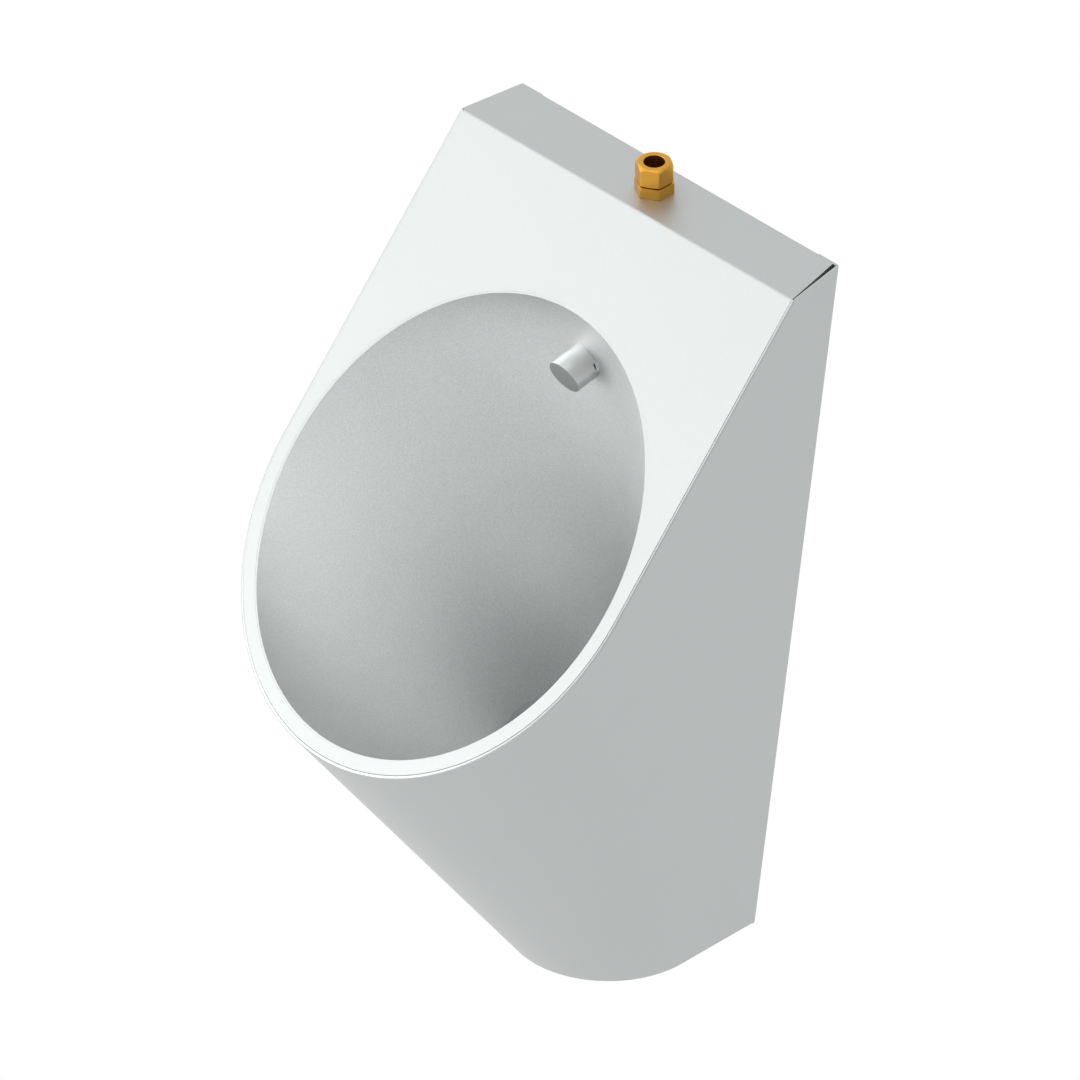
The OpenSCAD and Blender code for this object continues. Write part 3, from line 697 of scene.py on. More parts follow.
def line_normal(k):
    """The shell's outward direction on a line, from its neighbours."""
    before, after = lines[max(k - 1, 0)], lines[min(k + 1, len(lines) - 1)]
    i, j = lines[k]
    across = (fore[after[0]] - fore[before[0]]) + (rear[after[1]] - rear[before[1]])
    return outwards(across.cross(fore[i] - rear[j]).normalized(), fore[i])


print("a cross section has", len(section(0, 0, False, line_normal(0))), "points")

# %% [markdown]
# All the cross sections in a row, joined by faces, are the whole shell in one closed skin. Where
# the wall's flange meets the base's, two sections share one line, which makes the mitre between
# them. The bar that closes the wall's side at the foot is a separate strip, as it would be welded.

# %% The rolled shell and the bar along its foot
lap_drop = 0.4 * MM


def capped(name, rings, distance=1e-6):
    """A closed body over a row of closed rings, with both ends filled."""
    n = len(rings[0])
    points = [p for ring in rings for p in ring]
    faces = []
    for first in range(0, len(points) - n, n):
        faces += [(first + k, first + (k + 1) % n, first + n + (k + 1) % n, first + n + k)
                  for k in range(n)]
    faces += [tuple(range(n)), tuple(reversed(range(len(points) - n, len(points))))]
    return weld(make(name, points, faces), distance)


def rolled_shell():
    """The shell with its flanges; the section changes where the wall's flange meets the base's."""
    rings = []
    last = len(rear) - 1 - WALL_STOPS
    for k, (i, j) in enumerate(lines):
        normal = line_normal(k)
        if j == WALL_STOPS and lines[k - 1][1] < WALL_STOPS:
            rings.append(section(i, j, False, normal))
        rings.append(section(i, j, WALL_STOPS <= j <= last, normal))
        if j == last and lines[k + 1][1] > last:
            rings.append(section(i, j, False, normal))
    rings[0] = [p - Vector((0, 0, lap_drop)) for p in rings[0]]
    return capped("shell_skin", rings, 2e-5)


def back_bar():
    """The flange along the foot of the wall, mitred into the shell's flanges at both ends."""
    low, deep = base_radius, base_radius - base_flange
    high = back_half(base_z + wall_flange) - wall_flange
    foot, top = base_z, base_z + wall_flange
    fold, bulge = flange_fold, flange_fold * 0.3
    profile = [(high, 0, top), (low, 0, foot + fold), (low, -bulge, foot + bulge), (low, -fold, foot),
               (deep, -base_flange, foot), (deep, -base_flange, foot + sheet),
               (low, -sheet, foot + sheet), (high, -sheet, top)]
    return capped("Back bar", [[Vector((side * x, y, z)) for x, y, z in profile] for side in (-1, 1)])


whole_shell = join("shell_sheet", rolled_shell(), back_bar())
print("shell and bar:", len(whole_shell.data.polygons), "faces")

# %% [markdown]
# Two screws through the wall's flange lock the urinal on its bracket. Their holes are cut before
# the normals are weighted, so that the flange round them stays flat.

# %% The holes for the two lower screws
screw_half = 66 * MM
screw_height = 40 * MM
screw_hole = 3.5 * MM


def wall_drill(x, z, radius, count=32):
    """A drill through the wall's flange."""
    turns = [math.tau * k / count for k in range(count)]
    return capped("Drill", [[Vector((x + radius * math.cos(a), y, z + radius * math.sin(a))) for a in turns]
                            for y in (10 * MM, -10 * MM)])


whole_shell.data.shade_smooth()
cut(whole_shell, *[wall_drill(side * screw_half, base_z + screw_height, screw_hole) for side in (-1, 1)])
whole_shell.data.set_sharp_from_angle(angle=math.radians(38))
shell = dress(keep_flat(whole_shell), "body_shell")
print("drilled shell:", len(shell.data.polygons), "faces")

# %% [markdown]
# ## The bowl
# The bowl is drawn from one sheet, so its wall follows a rule all the way: at every height it is an
# oval, whose rear, front and half width each follow one cubic curve from the opening down to the
# round sump. That suits Geometry Nodes: a grid is bent round by a formula, and the curve's four
# points are named inputs. The same small group works out all three curves.


# %% Trees of Geometry Nodes
def new_tree(name, inputs):
    """An empty tree with (name, kind) inputs; gives it with its given and result sockets."""
    tree = bpy.data.node_groups.new(name, "GeometryNodeTree")
    tree.interface.new_socket("Geometry", in_out="OUTPUT", socket_type="NodeSocketGeometry")
    for label, kind in inputs:
        tree.interface.new_socket(label, in_out="INPUT", socket_type="NodeSocket" + kind)
    return tree, tree.nodes.new("NodeGroupInput").outputs, tree.nodes.new("NodeGroupOutput").inputs


def end_tree(tree, geometry, given, result):
    """Ends a tree: instances become real, and all faces get the material."""
    real = tree.nodes.new("GeometryNodeRealizeInstances")
    paint = tree.nodes.new("GeometryNodeSetMaterial")
    link_all(tree, [(geometry, real.inputs[0]), (real.outputs[0], paint.inputs["Geometry"]),
                    (given["Material"], paint.inputs["Material"]), (paint.outputs[0], result[0])])


def grow(obj, tree, values):
    """Runs a tree on an object, with its inputs set by name, and settles it."""
    modifier = obj.modifiers.new("Nodes", "NODES")
    modifier.node_group = tree
    for item in tree.interface.items_tree:
        if item.in_out == "INPUT" and item.name in values:
            modifier[item.identifier] = values[item.name]
    return settle(obj)


# %% A cubic curve as a node group
def cubic_group():
    """Blends four points along a cubic curve: between each two, then between the results."""
    tree = bpy.data.node_groups.new("Cubic curve", "GeometryNodeTree")
    for name in ("First", "Second", "Third", "Fourth"):
        tree.interface.new_socket(name, in_out="INPUT", socket_type="NodeSocketVector")
    tree.interface.new_socket("Share", in_out="INPUT", socket_type="NodeSocketFloat")
    tree.interface.new_socket("Point", in_out="OUTPUT", socket_type="NodeSocketVector")
    given = tree.nodes.new("NodeGroupInput").outputs
    row = list(given[:4])
    while len(row) > 1:
        blended = []
        for a, b in zip(row, row[1:]):
            mix = tree.nodes.new("ShaderNodeMix")
            mix.data_type = "VECTOR"
            mix.clamp_factor = False
            link_all(tree, [(given["Share"], mix.inputs["Factor"]),
                            (a, mix.inputs["A"]), (b, mix.inputs["B"])])
            blended.append(mix.outputs["Result"])
        row = blended
    tree.links.new(row[0], tree.nodes.new("NodeGroupOutput").inputs["Point"])
    return tree


cubic = cubic_group()
print("the curve group has", len(cubic.nodes), "nodes")

# %% The bowl's three curves
drain = Vector((0, -95 * MM, base_z))
sump_height = 171 * MM
sump_radius = 55 * MM
bowl_wall = 1.2 * MM
bowl_end = sump_radius + bowl_wall
rim_depth = 0.1 * MM
rim_inset = 0.06 * MM
rim_half = opening_half_width - rim_inset
rim_reach = opening_half_length - rim_inset
wall_foot = base_z + sump_height - bowl_wall / 2
REAR_SHARES = ((0, 0), (0.346, 0.106), (0.346, 0.405), (1, 1))
FORE_SHARES = ((0, 0), (0.22, 0.485), (0.662, 0.921), (1, 1))
HALF_SHARES = (0, 0.228, 0.588, 1)


def wall_curve(start, end_y, shares):
    """Four points of a curve in the middle plane, from the opening down to the sump."""
    way = Vector((0, end_y, wall_foot)) - start
    return [start + Vector((0, y * way.y, z * way.z)) for y, z in shares]


curves = {
    "Rear": wall_curve(on_slope(0, -lip_middle + rim_reach, rim_depth), drain.y + bowl_end, REAR_SHARES),
    "Front": wall_curve(on_slope(0, -lip_middle - rim_reach, rim_depth), drain.y - bowl_end, FORE_SHARES),
    "Half width": [Vector((rim_half + share * (bowl_end - rim_half), 0, 0)) for share in HALF_SHARES],
}
print("the bowl is", round((curves["Rear"][0].z - wall_foot) / MM), "mm deep at the rear")

# %% [markdown]
# A grid's own UV map tells how far round and how far down each of its points is. The tree turns
# the first into an angle and feeds the second to the three curves, then moves the points there and
# closes the seam.


# %% The bowl's wall from the curves
def bowl_tree():
    """Bends a grid round into the bowl's wall."""
    labels = [(f"{curve} {k}", "Vector") for curve in curves for k in range(1, 5)]
    tree, given, result = new_tree(
        "Drawn bowl", [("Round", "Int"), ("Down", "Int")] + labels + [("Material", "Material")])
    nodes = tree.nodes
    grid = nodes.new("GeometryNodeMeshGrid")
    store = nodes.new("GeometryNodeCaptureAttribute")
    store.capture_items.new("VECTOR", "Place")
    split = nodes.new("ShaderNodeSeparateXYZ")
    link_all(tree, [(given["Round"], grid.inputs["Vertices X"]), (given["Down"], grid.inputs["Vertices Y"]),
                    (grid.outputs["Mesh"], store.inputs["Geometry"]),
                    (grid.outputs["UV Map"], store.inputs[1]), (store.outputs[1], split.inputs[0])])
    parts = {}
    for curve in curves:
        follow = nodes.new("GeometryNodeGroup")
        follow.node_tree = cubic
        link_all(tree, [(given[f"{curve} {k + 1}"], follow.inputs[k]) for k in range(4)])
        part = nodes.new("ShaderNodeSeparateXYZ")
        link_all(tree, [(split.outputs["Y"], follow.inputs["Share"]), (follow.outputs[0], part.inputs[0])])
        parts[curve] = part.outputs
    angle = maths(tree, "MULTIPLY", split.outputs["X"], math.tau)
    # y and z lie between front and rear, by a share that follows the angle's sine
    share = maths(tree, "MULTIPLY_ADD", maths(tree, "SINE", angle), 0.5, 0.5)
    place = nodes.new("ShaderNodeCombineXYZ")
    across = maths(tree, "MULTIPLY", parts["Half width"]["X"], maths(tree, "COSINE", angle))
    tree.links.new(across, place.inputs["X"])
    for axis in ("Y", "Z"):
        reach = maths(tree, "SUBTRACT", parts["Rear"][axis], parts["Front"][axis])
        tree.links.new(maths(tree, "MULTIPLY_ADD", reach, share, parts["Front"][axis]), place.inputs[axis])
    move = nodes.new("GeometryNodeSetPosition")
    seam = nodes.new("GeometryNodeMergeByDistance")
    seam.inputs["Distance"].default_value = 0.01 * MM
    link_all(tree, [(store.outputs["Geometry"], move.inputs["Geometry"]),
                    (place.outputs[0], move.inputs["Position"]), (move.outputs[0], seam.inputs["Geometry"])])
    end_tree(tree, seam.outputs[0], given, result)
    return tree


bowl_inputs = {f"{name} {k}": tuple(p) for name, row in curves.items() for k, p in enumerate(row, 1)}
bowl_inputs |= {"Round": 193, "Down": 73, "Material": FINISHES["bowl_steel"]}
bowl_skin = grow(make("Bowl wall", [], []), bowl_tree(), bowl_inputs)
print("bowl wall:", len(bowl_skin.data.polygons), "faces")

# %% [markdown]
# Round parts are turned on a lathe on the real thing, and so are they here: a closed outline of
# radius and height pairs goes once round its axis. The frame of the piece, a matrix, then puts it
# in place.


# %% A lathe
def ringed(name, profiles):
    """A closed body from closed profiles that stand in a ring."""
    n = len(profiles[0])
    points = [p for profile in profiles for p in profile]
    faces = []
    for k in range(len(profiles)):
        one, other = k * n, (k + 1) % len(profiles) * n
        faces += [(one + i, other + i, other + (i + 1) % n, one + (i + 1) % n) for i in range(n)]
    return weld(make(name, points, faces))


def turned(name, outline, place=Matrix.Identity(4), count=96):
    """A closed body turned from (radius, height) pairs."""
    turns = [math.tau * k / count for k in range(count)]
    return ringed(name, [[place @ Vector((r * math.cos(a), r * math.sin(a), z)) for r, z in outline]
                         for a in turns])


def arc(centre_r, centre_z, radius, start, end, steps=6):
    """(radius, height) pairs on an arc; angles in degrees from straight outwards."""
    turns = [math.radians(start + (end - start) * k / steps) for k in range(steps + 1)]
    return [(centre_r + radius * math.cos(a), centre_z + radius * math.sin(a)) for a in turns]


def column(inner, outer, low, high):
    """The outline of a plain ring, or of a solid round where inner is nothing."""
    return [(inner, low), (outer, low), (outer, high), (inner, high)]


def upright(y, z=0.0):
    """The frame of a round part that stands upright at a place in the middle plane."""
    return Matrix.Translation((0, y, z))


print("a quarter arc has", len(arc(0, 0, 1, 0, 90)), "points")

# %% [markdown]
# The sump is a round pan with the waste's hole in its floor. The spray head stands on a plain ring
# seat high on the rear wall, and a hole for its tail goes through wall and seat.

# %% The sump and the spray head's seat
sump_floor = 151 * MM
sump_fillet = 4.8 * MM
sump_lap = 0.8 * MM
rim_round = 0.3 * MM
waste_radius = 23.5 * MM
spray_tilt = math.radians(9)
spray_y, spray_z = -91.408 * MM, -11.7 * MM
spray_frame = upright(spray_y, spray_z) @ Matrix.Rotation(math.pi / 2 + spray_tilt, 4, "X")
tail_radius = 8.3 * MM
tail_hole = tail_radius + 0.3 * MM
spray_radius = 13.5 * MM
foot_wall = 0.8 * MM
seat_radius = spray_radius - foot_wall - 0.2 * MM
seat_top = 2.2 * MM


def sump():
    """The round sump under the bowl's wall."""
    r, low, top = sump_radius, sump_floor, sump_height - sump_lap
    hole, corner_r, corner_z = waste_radius + 0.3 * MM, r - sump_fillet, low + sump_fillet
    outline = [(hole, low)] + arc(corner_r, corner_z, sump_fillet, -90, 0)
    outline += arc(r + rim_round, top - rim_round, rim_round, 180, 90, 4)
    outline += [(r + bowl_wall * 2, top), (r + bowl_wall * 2, top - bowl_wall)]
    outline += [(r + bowl_wall, top - bowl_wall * 1.5)]
    outline += arc(corner_r, corner_z, sump_fillet + bowl_wall, 0, -90) + [(hole, low - bowl_wall)]
    return turned("Sump", outline, Matrix.Translation(drain), 128)


def spray_seat():
    """The ring that the spray head's gasket lies on."""
    return turned("Seat", column(tail_hole, seat_radius, -2 * MM, seat_top), spray_frame)


print("the sump is", round((sump_height - sump_floor) / MM), "mm deep")


# %% [markdown]
# Solidify leaves the sheet's rim square to the wall, so its corners are slid along the wall to one
# plane just behind the panel. The rim is welded in and ground together with the panel, and so it
# carries the panel's finish.


# %% The whole bowl
def level_rim(piece):
    """Cuts the sheet's rim level with the panel."""
    def behind(vertex):
        return below_slope(vertex.co)

    work = bmesh.new()
    work.from_mesh(piece.data)
    moves = []
    for vertex in work.verts:
        if behind(vertex) < 1.5 * MM:
            lower = max((edge.other_vert(vertex) for edge in vertex.link_edges), key=behind)
            way = (vertex.co - lower.co).normalized()
            moves.append((vertex, way * (behind(vertex) - rim_depth) / way.dot(OUT_OF_SLOPE)))
    for vertex, move in moves:
        vertex.co += move
    work.to_mesh(piece.data)
    work.free()
    return len(moves)


def grind_rim(piece):
    """Gives the welded rim the panel's finish, as both are ground flush together."""
    piece.data.materials.append(FINISHES["satin_steel"])
    rim = [face for face in piece.data.polygons
           if below_slope(face.center) < 2 * rim_depth and face.normal.dot(OUT_OF_SLOPE) > 0.7]
    for face in rim:
        face.material_index = 1
    return len(rim)


thicken(bowl_skin, bowl_wall, 1)
print("rim corners levelled:", level_rim(bowl_skin))
cut(bowl_skin, turned("Drill", column(0, tail_hole, -9 * MM, 9 * MM), spray_frame))
bowl = dress(smooth(join("bowl_drawn", bowl_skin, sump(), spray_seat()), 40), "bowl")
print("rim faces ground:", grind_rim(bowl))

# %% [markdown]
# ## The water inlet
# The brass fitting is cut from hexagon bar. A lathe then turns its ends, so the corners fall away
# in a curve where the round shoulder meets the flat sides. A box with a bevel wouldn't show that
# curve. Here each point lies on a hexagon's outline, and its height follows from how far out it
# is, which gives the same curve as the lathe does.

# %% Hexagons with turned shoulders
SIXTH = math.tau / 6
ROUND_SHARE = 0.55
bar_corner = 0.25 * MM


def corner_reach(flats):
    """How far out a sharp hexagon's corners lie, for a distance across its flats."""
    return flats / 2 / math.cos(SIXTH / 2)


def hexagon_reach(flats, angle):
    """How far out the bar's outline lies at an angle; its corners are a little blunt."""
    return min(flats / 2 / math.cos(angle % SIXTH - SIXTH / 2), corner_reach(flats) - bar_corner)


def shoulder(flats, reach, end, flat_share, drop, steps=5):
    """The turned end of one column, outwards; drop is signed, towards the nut's middle."""
    flat = flats / 2 * flat_share
    rows = []
    for step in range(steps + 1):
        r = flat + (reach - flat) * step / steps
        t = (r - flat) / (corner_reach(flats) - flat)
        fall = 1 - ROUND_SHARE * math.sqrt(1 - t * t) - (1 - ROUND_SHARE) * (1 - t)
        rows.append((r, end + drop * fall))
    return rows


def hexed(name, flats, low, high, bore, place, head=(0.96, 1.2), foot=(0.96, 1.2), count=96):
    """A nut with turned ends: head and foot are (share that stays flat, drop in mm)."""
    edge = 0.35 * MM
    columns = []
    for k in range(count):
        a = math.tau * k / count
        reach = hexagon_reach(flats, a)
        outline = [(bore, low + edge), (bore + edge, low)]
        outline += shoulder(flats, reach, low, foot[0], foot[1] * MM)
        outline += reversed(shoulder(flats, reach, high, head[0], -head[1] * MM))
        outline += [(bore + edge, high), (bore, high - edge)]
        columns.append([place @ Vector((r * math.cos(a), r * math.sin(a), z)) for r, z in outline])
    return smooth(ringed(name, columns), 24)


print("a 24 mm hexagon's sharp corners lie", round(corner_reach(24), 1), "mm from its middle")


# %% [markdown]
# Washers and seals are short rings with soft corners. A real thread is a helix, but it shows as
# even ridges, and most of it hides inside a nut, so ridges turned on the lathe do as well.


# %% Rings and threads
def slab_outline(inner, outer, low, high, edge=0.3 * MM):
    """A ring's cross section with rounded corners."""
    outline = arc(outer - edge, low + edge, edge, -90, 0, 3)
    outline += arc(outer - edge, high - edge, edge, 0, 90, 3)
    outline += arc(inner + edge, high - edge, edge, 90, 180, 3)
    return outline + arc(inner + edge, low + edge, edge, 180, 270, 3)


def plain_ring(name, node, inner, edge=0.25 * MM):
    """A round washer, seal or ring that fills its upright node."""
    low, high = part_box(node)
    outline = slab_outline(inner, (high.x - low.x) / 2, low.z, high.z, edge)
    return dress(smooth(turned(name, outline, upright((low.y + high.y) / 2))), node)


def threaded(radius, low, high, pitch, depth):
    """A thread's roots and crests between two heights, as turned ridges."""
    count = max(1, round((high - low) / pitch))
    step = (high - low) / count
    outline = []
    for k in range(count):
        z = low + k * step
        outline += [(radius - depth, z), (radius, z + step * 0.4), (radius, z + step * 0.6)]
    return outline + [(radius - depth, high)]


print("a washer's section has", len(slab_outline(5 * MM, 9 * MM, 0, 1 * MM)), "points")

# %% [markdown]
# The fitting clamps the flat top between its lower hexagon and a locknut, with a fibre washer
# between. The supply pipe goes in from above, and the nut squeezes the olive, a soft brass ring,
# onto it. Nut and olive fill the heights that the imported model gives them.

# %% Inlet body, locknut, washer, olive and compression nut
inlet_frame = upright(inlet_y, top_z) @ Matrix.Rotation(math.radians(30), 4, "Z")
inlet_thread = {"pitch": 1.4 * MM, "depth": 0.7 * MM}
body_flats = 25.5 * MM
cap_flats = 24.3 * MM
locknut_flats = 30 * MM
body_height = 8.7 * MM
body_bore = 8 * MM
thread_radius = 10 * MM
thread_gap = 0.2 * MM
socket_radius = 7.55 * MM
socket_floor = 4.35 * MM
water_radius = 6.2 * MM
spigot_top = 15.5 * MM
pipe_stop = -18 * MM
pipe_socket = 7.8 * MM
shank = -30 * MM


def inlet_body():
    """Lower hexagon with its threaded spigot above and threaded shank below."""
    bar = hexed("Body hexagon", body_flats, 0, body_height, body_bore, inlet_frame, (0.95, 1.0), (0.98, 0.4))
    outline = threaded(thread_radius, shank, -thread_gap, **inlet_thread)
    outline += threaded(thread_radius, thread_gap, spigot_top, **inlet_thread)
    outline += [(thread_radius - 1.2 * MM, spigot_top), (socket_radius + 0.3 * MM, spigot_top),
                (socket_radius, spigot_top - 0.4 * MM), (socket_radius, socket_floor),
                (water_radius, socket_floor), (water_radius, pipe_stop),
                (pipe_socket, pipe_stop), (pipe_socket, shank)]
    return smooth(join("inlet_hex_body", bar, turned("Body tube", outline, inlet_frame)), 24)


cap_span = span("inlet_nut", "z", top_z)
dress(inlet_body(), "inlet_body")
dress(hexed("compression_cap", cap_flats, *cap_span, socket_radius, inlet_frame, (0.9, 3.0), (0.97, 0.8)),
      "inlet_nut")
plain_ring("olive_ring", "inlet_olive", socket_radius, 1.2 * MM)
plain_ring("fibre_ring", "inlet_washer", inlet_hole)
dress(hexed("shank_nut", locknut_flats, *span("inlet_locknut", "z", top_z), thread_radius, inlet_frame),
      "inlet_locknut")
print("the compression nut is", round((cap_span[1] - cap_span[0]) / MM, 1), "mm high")

# %% [markdown]
# ## Flush pipe and spray head
# A bent pipe is a circle carried along a path. The path here is a straight, an arc and a straight,
# so a few lines place the circles exactly, and the same circles with a smaller radius make the bore.

# %% The bent flush pipe
flush_outer, flush_inner = 7.5 * MM, 6.5 * MM
flush_bend = 24 * MM
flush_top = top_z - 18.3 * MM
flush_reach = 28.3 * MM


def flush_path(steps=24):
    """Centre line: (y, z, turn) from the shank down, round the bend, to the spray head's tail."""
    turn = math.pi / 2 - spray_tilt
    low = spray_z + (inlet_y - spray_y) * math.tan(spray_tilt) + flush_bend * math.tan(turn / 2)
    path = [(inlet_y, flush_top, 0.0)]
    for k in range(steps + 1):
        a = turn * k / steps
        path.append((inlet_y - flush_bend * (1 - math.cos(a)), low - flush_bend * math.sin(a), a))
    path.append((spray_y + flush_reach * math.cos(spray_tilt),
                 spray_z + flush_reach * math.sin(spray_tilt), turn))
    return path


def swept_pipe(name, path, outer, inner, count=40):
    """A pipe with a bore along a path in the middle plane."""
    way = [(outer, *stop) for stop in path] + [(inner, *stop) for stop in reversed(path)]
    turns = [math.tau * k / count for k in range(count)]
    return smooth(ringed(name, [[Vector((r * math.sin(a), y + r * math.cos(a) * math.cos(turn),
                                         z - r * math.cos(a) * math.sin(turn)))
                                 for r, y, z, turn in way] for a in turns]), 50)


dress(swept_pipe("flush_tube", flush_path(), flush_outer, flush_inner), "flush_pipe")
print("flush pipe:", len(flush_path()), "stops")

# %% [markdown]
# The spray head is a short turned stub whose end is cut slanting, so that it throws the water down
# the wall, and a slit in its side wets the wall above. It stands on a curved wall, so the lower
# edge of its thin skirt is found by casting a ray at the bowl from every point.

# %% Sizes of the spray head
SPRAY_CUT = math.radians(12)
spray_reach = 26.6 * MM
spray_bore = 4.5 * MM
bore_end = 13.3 * MM
tail_end = -28 * MM
collar_low = 3.2 * MM
slit_low, slit_high = Vector((-20 * MM, 2 * MM, 4.7 * MM)), Vector((20 * MM, 6 * MM, 6.1 * MM))
print("the spray head stands", round(spray_reach / MM, 1), "mm proud")


def block(low, high):
    """A closed box between two corners, to cut with."""
    points = [(x, y, z) for x in (low.x, high.x) for y in (low.y, high.y) for z in (low.z, high.z)]
    faces = [(0, 1, 3, 2), (4, 6, 7, 5), (0, 4, 5, 1), (2, 3, 7, 6), (0, 2, 6, 4), (1, 5, 7, 3)]
    return weld(make("Cutter", points, faces))


# %% The stub and its skirt
def spray_foot():
    """The thin skirt under the stub, whose lower edge follows the bowl's wall."""
    reach, sink = 25 * MM, 0.02 * MM
    foot = turned("Foot", column(spray_radius - foot_wall, spray_radius + 0.01 * MM, 0, collar_low + 1 * MM))
    bpy.context.view_layer.update()
    way = spray_frame.to_3x3() @ Vector((0, 0, -1))
    for vertex in foot.data.vertices:
        if vertex.co.z < 0.1 * MM:
            start = spray_frame @ (vertex.co + Vector((0, 0, reach)))
            found, spot = bowl.ray_cast(start, way)[:2]
            if found:
                vertex.co.z = reach - (spot - start).length + sink
    foot.data.transform(spray_frame)
    return foot


def cut_slanting(piece):
    """Cuts the stub's end on a slant and closes it."""
    work = bmesh.new()
    work.from_mesh(piece.data)
    bmesh.ops.bisect_plane(work, geom=work.verts[:] + work.edges[:] + work.faces[:],
                           plane_co=(0, spray_radius, spray_reach),
                           plane_no=(0, -math.sin(SPRAY_CUT), math.cos(SPRAY_CUT)), clear_outer=True)
    bmesh.ops.holes_fill(work, edges=[edge for edge in work.edges if edge.is_boundary], sides=0)
    bmesh.ops.recalc_face_normals(work, faces=work.faces)
    work.to_mesh(piece.data)
    work.free()


def spray_head():
    """A turned stub whose end is cut slanting and whose side is slit."""
    top = spray_reach + 6 * MM
    outline = threaded(tail_radius, tail_end, 2 * MM, 1.4 * MM, 0.5 * MM)
    outline += [(tail_radius, collar_low), (spray_radius, collar_low), (spray_radius, top), (0, top),
                (0, bore_end), (spray_bore, bore_end), (spray_bore, tail_end)]
    stub = turned("Stub", outline)
    cut_slanting(stub)
    cut(stub, block(slit_low, slit_high))
    stub.data.transform(spray_frame)
    round_edges(stub, width=0.35 * MM, steps=3, angle=40)
    return smooth(join("spray_stub", stub, spray_foot()), 35)


head = dress(spray_head(), "spray_head", "spray_steel")
print("spray head:", len(head.data.polygons), "faces")

# %% [markdown]
# Behind the bowl, a back nut on the spray head's tail pulls the stub onto its rubber gasket, and a
# union nut joins the tail to the flush pipe.

# %% The spray head's gasket and nuts
spray_flats = 24 * MM
backnut_low, backnut_high = -8 * MM, -2 * MM
union_low, union_high = -35 * MM, -21 * MM
gasket_ring = slab_outline(8.6 * MM, seat_radius, seat_top, collar_low)
dress(smooth(turned("spray_seal_ring", gasket_ring, spray_frame)), "spray_gasket")
dress(hexed("spray_lock_nut", spray_flats, backnut_low, backnut_high, tail_radius, spray_frame),
      "spray_backnut")
dress(hexed("spray_pipe_nut", spray_flats, union_low, union_high, socket_radius, spray_frame,
            (0.97, 0.8), (0.88, 3)), "spray_union_nut")
print("the gasket is", round((collar_low - seat_top) / MM, 1), "mm thick")

# %% [markdown]
# ## Waste and strainer
# The holes of the strainer lie on rings of six, twelve and eighteen. Geometry Nodes put a cutter on
# each vertex of three circles and take them all out of the plate at once, so hole size and spacing
# are two inputs.

# %% A tree that drills the strainer
HOLE_RINGS = (6, 12, 18)


def strainer_tree():
    """Cuts rings of holes out of a given plate."""
    tree, given, result = new_tree("Perforation", [
        ("Plate", "Geometry"), ("Hole radius", "Float"), ("Ring spacing", "Float"),
        ("Depth", "Float"), ("Centre", "Vector"), ("Material", "Material")])
    nodes = tree.nodes
    drill = nodes.new("GeometryNodeMeshCylinder")
    drill.inputs["Vertices"].default_value = 20
    rings = nodes.new("GeometryNodeJoinGeometry")
    for ring, holes in enumerate(HOLE_RINGS, 1):
        circle = nodes.new("GeometryNodeMeshCircle")
        circle.inputs["Vertices"].default_value = holes
        reach = maths(tree, "MULTIPLY", given["Ring spacing"], ring)
        link_all(tree, [(reach, circle.inputs["Radius"]), (circle.outputs[0], rings.inputs[0])])
    spots = nodes.new("GeometryNodeInstanceOnPoints")
    shift = nodes.new("GeometryNodeTransform")
    cutter = nodes.new("GeometryNodeMeshBoolean")
    cutter.operation = "DIFFERENCE"
    cutter.solver = "EXACT"
    link_all(tree, [
        (given["Hole radius"], drill.inputs["Radius"]), (given["Depth"], drill.inputs["Depth"]),
        (rings.outputs[0], spots.inputs["Points"]), (drill.outputs[0], spots.inputs["Instance"]),
        (spots.outputs[0], shift.inputs["Geometry"]), (given["Centre"], shift.inputs["Translation"]),
        (shift.outputs[0], cutter.inputs["Mesh 2"]), (given["Plate"], cutter.inputs["Mesh 1"])])
    end_tree(tree, cutter.outputs[0], given, result)
    return tree


perforation = strainer_tree()
print("the drilling tree has", len(perforation.nodes), "nodes")

# %% The strainer
strainer_radius = 28 * MM
plate_wall = 2 * MM
plate_round = 0.8 * MM
skirt_drop = 8 * MM
knob_round = 1.2 * MM
plate_low = span("strainer", "z")[0] + skirt_drop
on_drain = upright(drain.y)


def strainer():
    """Perforated plate with a skirt below and a knob above."""
    top = plate_low + plate_wall
    disc = [(0, plate_low), (strainer_radius - 0.3 * MM, plate_low)]
    disc += arc(strainer_radius - plate_round, top - plate_round, plate_round, 0, 90, 4) + [(0, top)]
    plate = grow(turned("Plate", disc, on_drain), perforation, {
        "Hole radius": 2 * MM, "Ring spacing": 5.2 * MM, "Depth": 6 * MM,
        "Centre": (0, drain.y, plate_low + plate_wall / 2), "Material": FINISHES["polished_steel"]})
    sunk = plate_low + 0.5 * MM
    skirt_outline = slab_outline(18.7 * MM, 19.9 * MM, plate_low - skirt_drop, sunk, 0.25 * MM)
    knob_top, stem = span("strainer", "z")[1], 1.5 * MM
    knob = [(0, sunk), (stem, sunk), (stem, knob_top - 2 * MM)]
    knob += arc(knob_round, knob_top - knob_round, knob_round, -30, 90, 6) + [(0, knob_top)]
    return smooth(join("perforated_strainer", plate, turned("Skirt", skirt_outline, on_drain),
                       turned("Knob", knob, on_drain, 48)), 30)


dress(strainer(), "strainer")
print("the strainer has", sum(HOLE_RINGS), "holes")

# %% [markdown]
# The waste's flange lies on the sump's floor with a rubber ring under it. Its threaded tail goes
# through the hole, and a brass nut pulls it down against a second ring from below.

# %% Waste body, seals and back nut
waste_bore = 20.5 * MM
flange_radius = 34 * MM
seal_bore = 23.8 * MM
backnut_flats = 60 * MM


